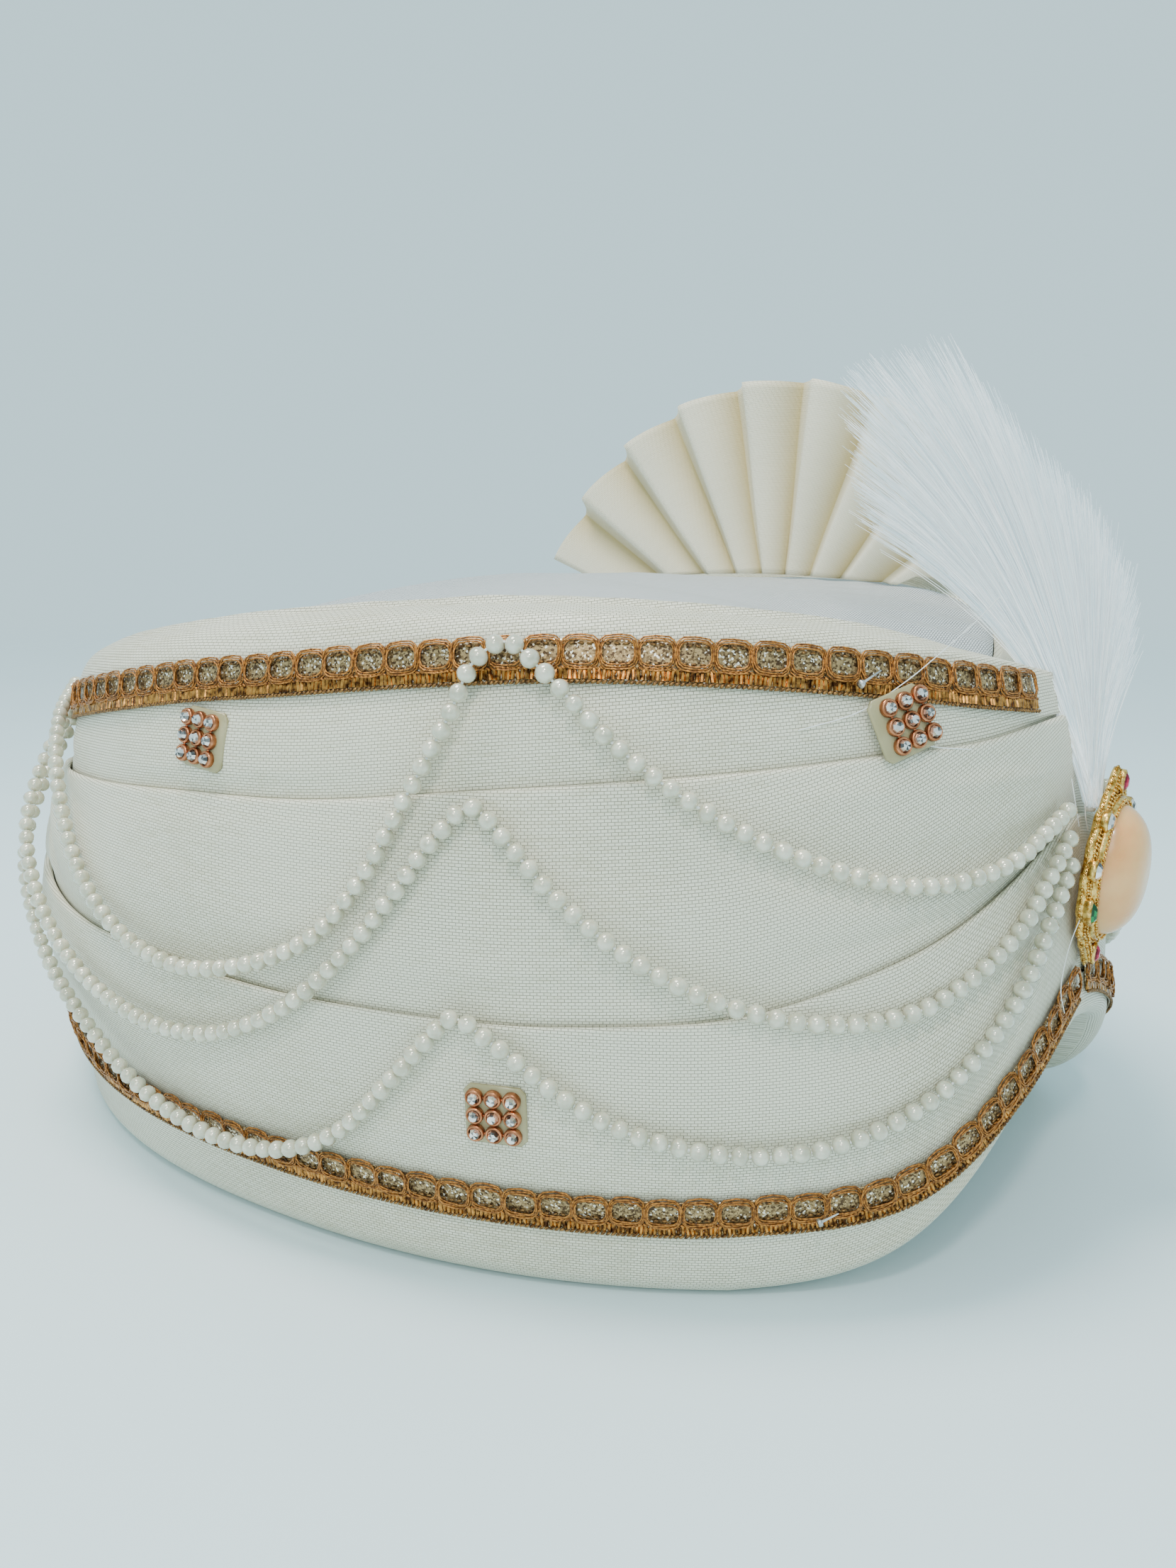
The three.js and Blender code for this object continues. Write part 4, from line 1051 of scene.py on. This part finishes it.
for sideNumber, (sideName, side) in enumerate((("right", 1), ("left", -1))):
    for number, name in enumerate(("upper", "middle", "lower")):
        makeString(sideName, side, name, 20 + 3 * sideNumber + number)
print("pearls made")


# ---- rhinestone squares
squares = {
    "cupDiameter": 3.7, "cupHeight": 1.9, "stoneTable": 1.7, "stoneRise": 0.8, "cupPitch": 3.9,
    "patchSide": 12.8, "patchThickness": 0.8,
    # degrees, height as a share of rimHeight, turn, lift off the plain body, and the patch's shift
    "front": [28, 0.848, -17, 2.2, -1.5], "back": [92, 0.79, 5, 0.6, 1.3], "low": [65.5, 0.296, 0, 1.1, 0.2],
}
roseGold = metal("rose_gold", (0.66, 0.27, 0.13), (0.30, 0.10, 0.04), 0.24, 500, 0.15, 0.95)
clearGlue = grainLook(
    "clear_glue", 260, (0.40, 0.34, 0.16), (0.56, 0.49, 0.28), (0.2, 0.2), {"Alpha": 0.7}, spread=(0, 1))


def makeCrystal(name, bright, dark, metallic=0.6, coat=0.3):
    # foiled stone: each face of it gets a painted glint, bright or dark by a per-face tone, standing in for
    # the sparkle its cut would reflect
    material, w, shader, _ = startLook(name, {
        "Metallic": metallic, "Roughness": 0.06, "Coat Weight": coat, "Coat Roughness": 0.03})
    w.feed(shader["Base Color"], w.mix(w.attribute("painted_glint"), dark, bright))
    return material


# for each stone, the colour of its painted glints and of its painted dark reflections
crystalClear = makeCrystal("crystal_clear", (1.0, 0.93, 0.88), (0.03, 0.03, 0.03), 0.9, 1.0)
crystalGreen = makeCrystal("crystal_green", (0.0, 0.26, 0.07), (0.0, 0.04, 0.01))
crystalRed = makeCrystal("crystal_red", (0.55, 0.02, 0.07), (0.12, 0.0, 0.01))


class Assembly:
    # collects several forms in one mesh, each with its material
    def __init__(self):
        self.vertices, self.faces, self.slots, self.smooth, self.glintTones = [], [], [], [], []

    def add(self, vertices, faces, slot, smooth, place=Matrix(), glintTones=None):
        base = len(self.vertices)
        self.vertices += [tuple(place @ Vector(v)) for v in vertices]
        self.faces += [tuple(base + i for i in face) for face in faces]
        self.slots += [slot] * len(faces)
        self.smooth += [smooth] * len(faces)
        self.glintTones += glintTones or [0.5] * len(faces)

    def piece(self, name, materials, place, slot, node):
        mesh = bpy.data.meshes.new(name)
        mesh.from_pydata([tuple(place @ Vector(v)) for v in self.vertices], [], self.faces)
        mesh.polygons.foreach_set("material_index", self.slots)
        mesh.polygons.foreach_set("use_smooth", self.smooth)
        # each face keeps its painted glint tone; faces with no glint painted get 0.5
        mesh.attributes.new("painted_glint", "FLOAT", "FACE").data.foreach_set("value", self.glintTones)
        for material in materials:
            mesh.materials.append(material)
        tidyMesh(mesh, weld=False)
        addPiece(name, mesh, slot, node)


def turned(outline, sides):
    # faces of revolution round Z; an outline point on the axis becomes one vertex
    vertices, rings, faces = [], [], []
    for radius, height in outline:
        if radius < 1e-6:
            rings.append([len(vertices)] * sides)
            vertices.append((0, 0, height))
        else:
            rings.append(list(range(len(vertices), len(vertices) + sides)))
            for k in range(sides):
                turn = 2 * math.pi * k / sides
                vertices.append((radius * math.cos(turn), radius * math.sin(turn), height))
    for low, high in zip(rings, rings[1:]):
        for k in range(sides):
            after = (k + 1) % sides
            face = tuple(dict.fromkeys((low[k], low[after], high[after], high[k])))
            if len(face) > 2:
                faces.append(face)
    return vertices, faces


def paintedGlintTones(faces, seed):
    # painted glints: a random share of the faces is bright, the rest dark, standing in for reflections
    tones = np.random.default_rng(seed).uniform(0, 1, len(faces)) ** 0.8
    return [round(float(tone), 3) for tone in np.where(tones > 0.45, 0.55 + tones * 0.45, tones * 0.6)]


def makeSquare(sideName, side, name):
    at, share, turn, lift, shift = squares[name]
    height, at = share * body["rimHeight"], side * at
    right = -side * Vector(bodyPoint(at + 2 * side, height) - bodyPoint(at - 2 * side, height)).normalized()
    up = Vector(bodyPoint(at, height + 4) - bodyPoint(at, height - 4))
    out = right.cross(up).normalized()
    basis = Matrix((right, out.cross(right), out)).transposed().to_4x4()
    spin = Matrix.Rotation(math.radians(-side * turn), 4, "Z")
    place = intoFrame @ Matrix.Translation(Vector(bodyPoint(at, height, -lift))) @ basis @ spin
    radius, cup, pitch = squares["cupDiameter"] / 2, squares["cupHeight"], squares["cupPitch"]
    thick, half = squares["patchThickness"], squares["patchSide"] / 2
    cupOutline = [
        (0, thick * 0.6), (radius * 0.9, thick * 0.6), (radius, thick), (radius, cup - 0.35),
        (radius - 0.12, cup - 0.05), (radius - 0.4, cup + 0.1), (radius - 0.55, cup - 0.1),
        (radius - 0.6, cup - 0.5), (0, cup - 0.5)]
    girdle = radius - 0.58
    crystalTop = cup + squares["stoneRise"]
    stoneOutline = [
        (0, cup - 0.45), (girdle, cup - 0.4), (girdle, cup - 0.1), (squares["stoneTable"] / 2, crystalTop),
        (0, crystalTop)]
    form = Assembly()
    corners = [(-1, -0.8), (-0.8, -1), (0.8, -1), (1, -0.8), (1, 0.8), (0.8, 1), (-0.8, 1), (-1, 0.8)]
    patch = [
        (half * x * swell + shift * side, half * y * swell, z)
        for swell, z in ((1, 0), (1, thick * 0.5), (0.94, thick * 0.85)) for x, y in corners]
    form.add(patch, [tuple(range(7, -1, -1)), tuple(range(16, 24))] + ringFaces(3, 8), 2, True)
    for k in range(9):
        x, y = (k % 3 - 1) * pitch, (k // 3 - 1) * pitch
        spot = Matrix.Translation((x, y, 0)) @ Matrix.Rotation(0.3 * k, 4, "Z")
        form.add(*turned(cupOutline, 18), 0, True, spot)
        vertices, faces = turned(stoneOutline, 8)
        form.add(vertices, faces, 1, False, spot, paintedGlintTones(faces, k + 5))
        # small bars join a cup to the next one across and up
        for last, stepX, stepY, axis in ((k % 3 == 2, pitch / 2, 0, "Y"), (k // 3 == 2, 0, pitch / 2, "X")):
            if not last:
                link = Matrix.Translation((x + stepX, y + stepY, thick + 0.35))
                tilt = Matrix.Rotation(math.pi / 2, 4, axis)
                form.add(*turned([(0, -0.6), (0.28, -0.6), (0.28, 0.6), (0, 0.6)], 6), 0, True, link @ tilt)
    piece = f"stones_{sideName}_{name}"
    form.piece(piece + "_set", [roseGold, crystalClear, clearGlue], place, "rhinestone", piece)


for sideName, side in (("right", 1), ("left", -1)):
    for name in ("front", "back", "low"):
        makeSquare(sideName, side, name)
print("rhinestones made")


# ---- brooch
broochShape = {
    "height": 38, "width": 28, "tip": 3.4, "thickness": 2.2, "level": 0.577, "stand": 5.6, "tilt": 5,
    "stoneHeight": 30, "stoneWidth": 21, "dome": 8.4, "bezelWall": 1.3, "bezelHeight": 1.8,
    "steps": 128, "scallops": 16, "grain": 0.42, "grainPitch": 0.88,
    # set stones: degrees round the frame, radius, rise, and length over width
    "clear": [[7.5, 1.8, 2.1, 1.2], [46, 1.8, 2.1, 1.2], [134, 1.8, 2.1, 1.2], [172.5, 1.8, 2.1, 1.2]],
    "green": [[205, 1.4, 2.3, 2.0], [335, 1.4, 2.3, 2.0]],
    "redRadius": 1.1, "redRise": 1.7, "redStretch": 1.9,
}
broochMiddle = bodyPoint(0, broochShape["level"] * body["rimHeight"], -broochShape["stand"])
broochPlace = (
    intoFrame @ Matrix.Translation(Vector(broochMiddle))
    @ Matrix.Rotation(math.radians(90 + broochShape["tilt"]), 4, "X"))
antiqueGold = metal("granulated_gold", (1.0, 0.66, 0.2), (0.36, 0.16, 0.02), 0.18, 1000, 0.7, 0.98)
peachStone = grainLook("peach_stone", 60, (0.72, 0.31, 0.085), (0.87, 0.51, 0.21), (0.3, 0.22), {
    "Coat Weight": 0.5, "Coat Roughness": 0.12, "Subsurface Weight": 0.35, "Subsurface Scale": 0.004},
    spread=(0.35, 0.68), detail=4)


def ovalRow(scale, height, scallop=1.0, wide=broochShape["width"] / 2, tall=broochShape["height"] / 2):
    rows = []
    for k in range(broochShape["steps"]):
        turn = 2 * math.pi * k / broochShape["steps"]
        lobe = 1 + 0.03 * scallop * math.cos(broochShape["scallops"] * turn)
        upright = math.sin(turn)
        tip = broochShape["tip"] * scallop * max(0, abs(upright) - 0.94) / 0.06 * math.copysign(1, upright)
        rows.append((wide * math.cos(turn) * lobe * scale, (tall * upright * lobe + tip) * scale, height))
    return rows


def stackRows(rows, closed):
    count = len(rows[0])
    faces = ringFaces(len(rows), count, closed)
    if not closed:
        faces += [tuple(reversed(range(count))), tuple((len(rows) - 1) * count + k for k in range(count))]
    return [point for row in rows for point in row], faces


def makeBrooch():
    half = broochShape["thickness"] / 2
    wide, tall = broochShape["stoneWidth"] / 2 + gap, broochShape["stoneHeight"] / 2 + gap
    wall, base, top = broochShape["bezelWall"], half - 0.4, half + broochShape["bezelHeight"] - 0.2

    def bezelRow(out, height):
        return ovalRow(1, height, 0.0, wide + out, tall + out)

    form = Assembly()
    form.add(*stackRows([
        ovalRow(0.95, -half), ovalRow(0.99, -half + 0.3), ovalRow(1, -0.2), ovalRow(0.99, half - 0.5),
        ovalRow(0.95, half - 0.05), ovalRow(0.9, half), ovalRow(0.84, half - 0.25), ovalRow(0.8, half - 0.2)],
        False), 0, True)
    form.add(*stackRows([
        bezelRow(0, base), bezelRow(0, top - 0.3), bezelRow(0.25, top), bezelRow(wall * 0.55, top - 0.05),
        bezelRow(wall * 0.8, top - 0.5), bezelRow(wall, top - 0.9), bezelRow(wall, base)], True), 0, True)
    form.piece("brooch_frame_plate", [antiqueGold], broochPlace, "gold", "brooch_frame")
    grain = unitBall("grainUnit", broochShape["grain"])
    for number, (name, rows) in enumerate((
            ("inner_beading", bezelRow(wall + 0.3, half + 0.1)),
            ("top_beading", bezelRow(wall * 0.45, top + 0.05)),
            ("edge_beading", ovalRow(0.965, half - 0.1)), ("rim_beading", ovalRow(1.0, -0.1)),
            ("band_beading", ovalRow(0.9, half + 0.15)))):
        loop = np.array([tuple(broochPlace @ Vector(p)) for p in rows + rows[:1]])
        out = np.broadcast_to(np.array(broochPlace.to_3x3().normalized() @ Vector((0, 0, 1))), loop.shape)
        addPiece(f"brooch_{name}", grow(f"brooch_{name}", guideLine(name, loop, out), trimTree, {
            "Unit": grain, "Pitch": broochShape["grainPitch"] * 0.001, "Second Lift": 0.0001,
            "Second Size": 0.8, "Waver": 0.6, "Seed": 40 + number, "Material": antiqueGold}),
            "gold", "brooch_frame")
    bpy.data.objects.remove(grain)
    makeSetStones(half)
    makeCabochon(half)


def unitBall(name, radius):
    work = bmesh.new()
    bmesh.ops.create_icosphere(work, subdivisions=1, radius=radius * 0.001)
    mesh = bpy.data.meshes.new(name)
    work.to_mesh(mesh)
    work.free()
    setSmooth(mesh)
    return newObject(name, mesh)


def makeSetStones(half):
    wide, tall = broochShape["width"] / 2, broochShape["height"] / 2
    clear, green, red, claws = Assembly(), Assembly(), Assembly(), Assembly()
    seed = 50
    for kind, stones in ((clear, broochShape["clear"]), (green, broochShape["green"])):
        for degrees, radius, rise, stretch in stones:
            turn = math.radians(degrees)
            x, y = math.cos(turn) * (wide - 1.3), math.sin(turn) * (tall - 1.5)
            lean = math.atan2(y * wide / tall, x * tall / wide)
            setOne(kind, claws, x, y, half, radius, rise, stretch, lean, seed)
            seed += 1
    for end in (1, -1):
        setOne(
            red, claws, 0, end * (tall + broochShape["tip"] * 0.25), half, broochShape["redRadius"],
            broochShape["redRise"], broochShape["redStretch"], 0, 70 + end)
    for name, kind, material in (
            ("clear", clear, crystalClear), ("green", green, crystalGreen), ("red", red, crystalRed),
            ("claws", claws, antiqueGold)):
        kind.piece(f"brooch_{name}", [material], broochPlace, "gold", "brooch_frame")


def setOne(kind, claws, x, y, half, radius, rise, stretch, lean, seed):
    place = Matrix.Translation((x, y, half)) @ Matrix.Rotation(lean, 4, "Z")
    place = place @ Matrix.Diagonal((1, stretch, 1, 1))
    outline = [
        (0, -0.4), (radius, -0.4), (radius, rise * 0.5), (radius * 0.75, rise * 0.8),
        (radius * 0.42, rise), (0, rise)]
    vertices, faces = turned(outline, 8)
    kind.add(vertices, faces, 0, False, place, paintedGlintTones(faces, seed))
    ring = [
        (radius, -0.5), (radius + 0.35, -0.3), (radius + 0.32, rise * 0.45), (radius + 0.05, rise * 0.6),
        (radius - 0.1, rise * 0.4), (radius, -0.5)]
    claws.add(*turned(ring, 14), 0, True, place)


def makeCabochon(half):
    wide, tall = broochShape["stoneWidth"] / 2, broochShape["stoneHeight"] / 2
    rows = [ovalRow(0.97, half + gap, 0.0, wide, tall)]
    steps = 16
    for k in range(steps):
        share = math.sin(math.pi / 2 * (1 - k / steps))
        height = broochShape["dome"] * (1 - share ** 2.7) ** (1 / 1.9)
        rows.append(ovalRow(share, half + gap + height, 0.0, wide, tall))
    form = Assembly()
    form.add(*stackRows(rows, False), 0, True)
    form.piece("brooch_cabochon", [peachStone], broochPlace, "peach_stone", "brooch_stone")


makeBrooch()
print("brooch made")


# ---- pins and loose threads, left by the maker
loose = {
    "pinRadius": 0.33, "headRadius": 0.85, "headLength": 0.9, "threadRadius": 0.13,
    # degrees from the front, height and stand off the cloth of each end
    "pins": [[(32.6, 126.6, 3.2), (30.2, 128.6, 2.4)], [(38.2, 21.4, 3.4), (36.6, 22.6, 2.6)]],
    "threads": [
        [(12, 141, 3), (17, 137, 3.4), (23, 131, 2.6), (28, 126, 2.6), (33, 121, 1.6), (39, 118, 1)],
        [(-0.5, 102, 2.6), (0.5, 97, 2.9), (0.7, 92, 3), (0.2, 89, 3)],
        [(3, 101.5, 2.2), (3.2, 97, 2.8), (2.6, 91, 3)],
        [(4, 74, 5), (6, 66, 3), (8, 58, 2.6), (7, 52, 2.2)],
        [(20, 112, 1), (26, 114, 1.6), (31, 118, 1.2)]],
}
pinSteel = metal("pin_steel", (0.75, 0.74, 0.72), (0.4, 0.39, 0.37), 0.2, 300, 0.05, 0.95)


def makeLoose():
    def placed(points):
        return np.array([bodyPoint(degrees, height, -stand) for degrees, height, stand in points])

    for number, ends in enumerate(loose["pins"], 1):
        line = placed(ends)
        addTube(f"pin_{number}", line, loose["pinRadius"], 8, pinSteel, None, thick=[1, 0.5])
        along = (line[1] - line[0]) / np.linalg.norm(line[1] - line[0])
        size = loose["headLength"]
        head = line[0] - along * np.array([[size], [size - 0.05], [0.1], [0]])
        addTube(f"pin_head_{number}", head, loose["headRadius"], 12, pinSteel, None, thick=[0.5, 1, 1, 0.5])
    for number, points in enumerate(loose["threads"], 1):
        line = centripetal(placed(points), 8)
        addTube(f"loose_thread_{number}", line, loose["threadRadius"], 4, threadWhite, None)


makeLoose()
print("pins and threads made")


# ---- plume
plumeShape = {
    "root": 93.7, "stem": 13, "stemRadius": 1.9, "hairs": 2900, "steps": 9, "hairRadius": 0.13, "seed": 5,
    "boundShare": 0.7,       # radius of the binding as a share of stemRadius
    "lean": 13,              # how far the longest hairs lean to the far side
    # reach towards the back and height of the tips over the root, from the front hair to the back one
    "tips": [[-5.5, 24], [-4.5, 40], [2, 56], [14, 69], [37, 94], [58, 88], [53, 56]],
}


def makePlume():
    rng = np.random.default_rng(plumeShape["seed"])
    count, steps, root = plumeShape["hairs"], plumeShape["steps"], plumeShape["root"]
    front = -bodyPoint(0, root, -body["lipRise"] - gap)[1] + plumeShape["stemRadius"]
    rootHeight = root + 0.5
    tips = np.array(plumeShape["tips"], dtype=float)
    place = rng.beta(1.15, 1.0, count) * (len(tips) - 1)
    k = np.minimum(place.astype(int), len(tips) - 2)
    tip = tips[k] + (tips[k + 1] - tips[k]) * (place - k)[:, None]
    length = rng.uniform(0.72, 1.0, count) ** 0.6
    share = place / (len(tips) - 1)
    tip = tip * length[:, None]
    sideways = rng.normal(0, 1, count)
    x = -plumeShape["lean"] * share ** 1.6 + sideways * (2.6 + 2.8 * (1 - share)) + 2.5 * (1 - share)
    start = np.stack([
        rng.normal(0, 0.8, count), -front + rng.normal(0, 0.6, count) - 0.6,
        rootHeight + rng.uniform(0, 3, count)], axis=1)
    end = np.stack([x, -front + tip[:, 0], rootHeight + 8 + tip[:, 1]], axis=1)
    lift = 0.42 + 0.1 * share
    mid = np.stack([
        x * 0.45, -front + tip[:, 0] * 0.30, rootHeight + 9 + tip[:, 1] * lift + 6 * share], axis=1)
    t = np.linspace(0, 1, steps)[None, :, None]
    lines = (1 - t) ** 2 * start[:, None] + 2 * t * (1 - t) * mid[:, None] + t ** 2 * end[:, None]
    lines += rng.normal(0, 0.5, (count, 1, 3)) * np.sin(np.pi * t * rng.uniform(0.6, 1.6, (count, 1, 1))) * t
    mesh = bpy.data.meshes.new("plume")
    index = np.arange(count * steps).reshape(count, steps)
    edges = np.stack([index[:, :-1], index[:, 1:]], axis=-1).reshape(-1, 2)
    mesh.from_pydata(toFrame(lines).reshape(-1, 3).tolist(), edges.tolist(), [])
    addFloat(mesh, "thick", np.tile(np.linspace(1.1, 0.3, steps), count))
    # each hair has its own tone, and neighbours gather in lighter and darker locks
    tone = np.clip(0.5 + 0.3 * np.sin(19 * place) + rng.normal(0, 0.3, count), 0, 1)
    addFloat(mesh, "tone", np.repeat(tone, steps))
    addPiece("plume_hairs", grow("plume_hairs", mesh, tubeTree, {
        "Radius": plumeShape["hairRadius"] * 0.001, "Sides": 3, "Material": glowingPlumeHair}),
        "plume_hair", "plume")
    radius, height, turns = plumeShape["stemRadius"] * plumeShape["boundShare"], plumeShape["stem"], 16
    outline = [(0, -0.5), (radius * 0.8, -0.5)]
    for ring in range(turns + 1):
        outline += [(radius * 0.92, height * ring / turns), (radius, height * ring / turns + 0.3)]
    outline += [(radius * 0.7, height + 0.6), (0, height + 0.8)]
    binding = Assembly()
    binding.add(*turned(outline, 16), 0, True, Matrix.Translation((0, -front, root)))
    binding.piece("plume_binding", [threadWhite], intoFrame, "plume_hair", "plume")


def makeGlowingHair():
    # the hairs glow with their own colour: painted light that lifts the shade among the hairs and stands in
    # for light shining through them
    material, w, shader, places = startLook("plume_hair", {
        "Sheen Weight": 0.3, "Specular IOR Level": 0.3, "Emission Strength": 0.34})
    hairToneAndGlow = w.mix(w.attribute("tone"), (0.62, 0.75, 0.80), (0.97, 1.0, 1.0))
    w.feed(shader["Base Color"], hairToneAndGlow)
    w.feed(shader["Emission Color"], hairToneAndGlow)
    w.feed(shader["Roughness"], w.remap(w.noise(places["Object"], 300, 2), 0.3, 0.7, 0.6, 0.4))
    return material


glowingPlumeHair = makeGlowingHair()
makePlume()
print("plume made")


# ---- floor and light
stageShape = {
    "radius": 2.2, "near": 0.35, "far": 1.7,
    "sky": (0.77, 1.08, 1.17),
    # name, watts, diameter, place and colour of each light; all look at aim
    "aim": (0, 0, 0.08),
    "lights": [
        ("overhead", 14.5, 0.5, (-0.25, 0.2, 1.3), (1.0, 0.95, 0.9)),
        ("lamp", 4.2, 0.12, (-0.7, -0.45, 1.0), (1.0, 0.98, 0.95)),
        ("window", 4, 0.6, (-1.2, -0.5, 0.8), (1.0, 0.96, 0.92))],
}


def makeFloor():
    count, radius = 96, stageShape["radius"]
    ring = [
        (radius * math.cos(2 * math.pi * k / count), radius * math.sin(2 * math.pi * k / count), 0)
        for k in range(count)]
    mesh = bpy.data.meshes.new("floor")
    mesh.from_pydata(ring, [], [tuple(range(count))])
    material = grainLook(
        "floor_paper", 9, (0.70, 0.83, 0.87), (0.74, 0.87, 0.90), (0.75, 0.85), {"Specular IOR Level": 0.2},
        spread=(0, 1), detail=4)
    # the paper fades out towards its edge
    w = Wiring(material.node_tree)
    places = w.add("ShaderNodeTexCoord").outputs
    away = w.add("ShaderNodeVectorMath", {0: places["Object"]}, operation="LENGTH")
    fade = w.remap(away.outputs["Value"], stageShape["near"], stageShape["far"], 1, 0)
    w.feed(w.tree.nodes["Principled BSDF"].inputs["Alpha"], fade)
    mesh.materials.append(material)
    floor = newObject("floor", mesh)


def makeLight(name, power, size, place, colour):
    lamp = bpy.data.lights.new(name, "AREA")
    lamp.energy = power
    lamp.shape = "DISK"
    lamp.size = size
    lamp.color = colour
    light = newObject(name, lamp)
    light.location = place
    light.rotation_euler = (Vector(stageShape["aim"]) - Vector(place)).to_track_quat("-Z", "Y").to_euler()


def makeSky():
    world = bpy.data.worlds.new("studio")
    world.use_nodes = True
    sky = world.node_tree.nodes["Background"]
    sky.inputs["Color"].default_value = (*stageShape["sky"], 1)
    sky.inputs["Strength"].default_value = 1.0
    bpy.context.scene.world = world


makeFloor()
makeSky()
for values in stageShape["lights"]:
    makeLight(*values)
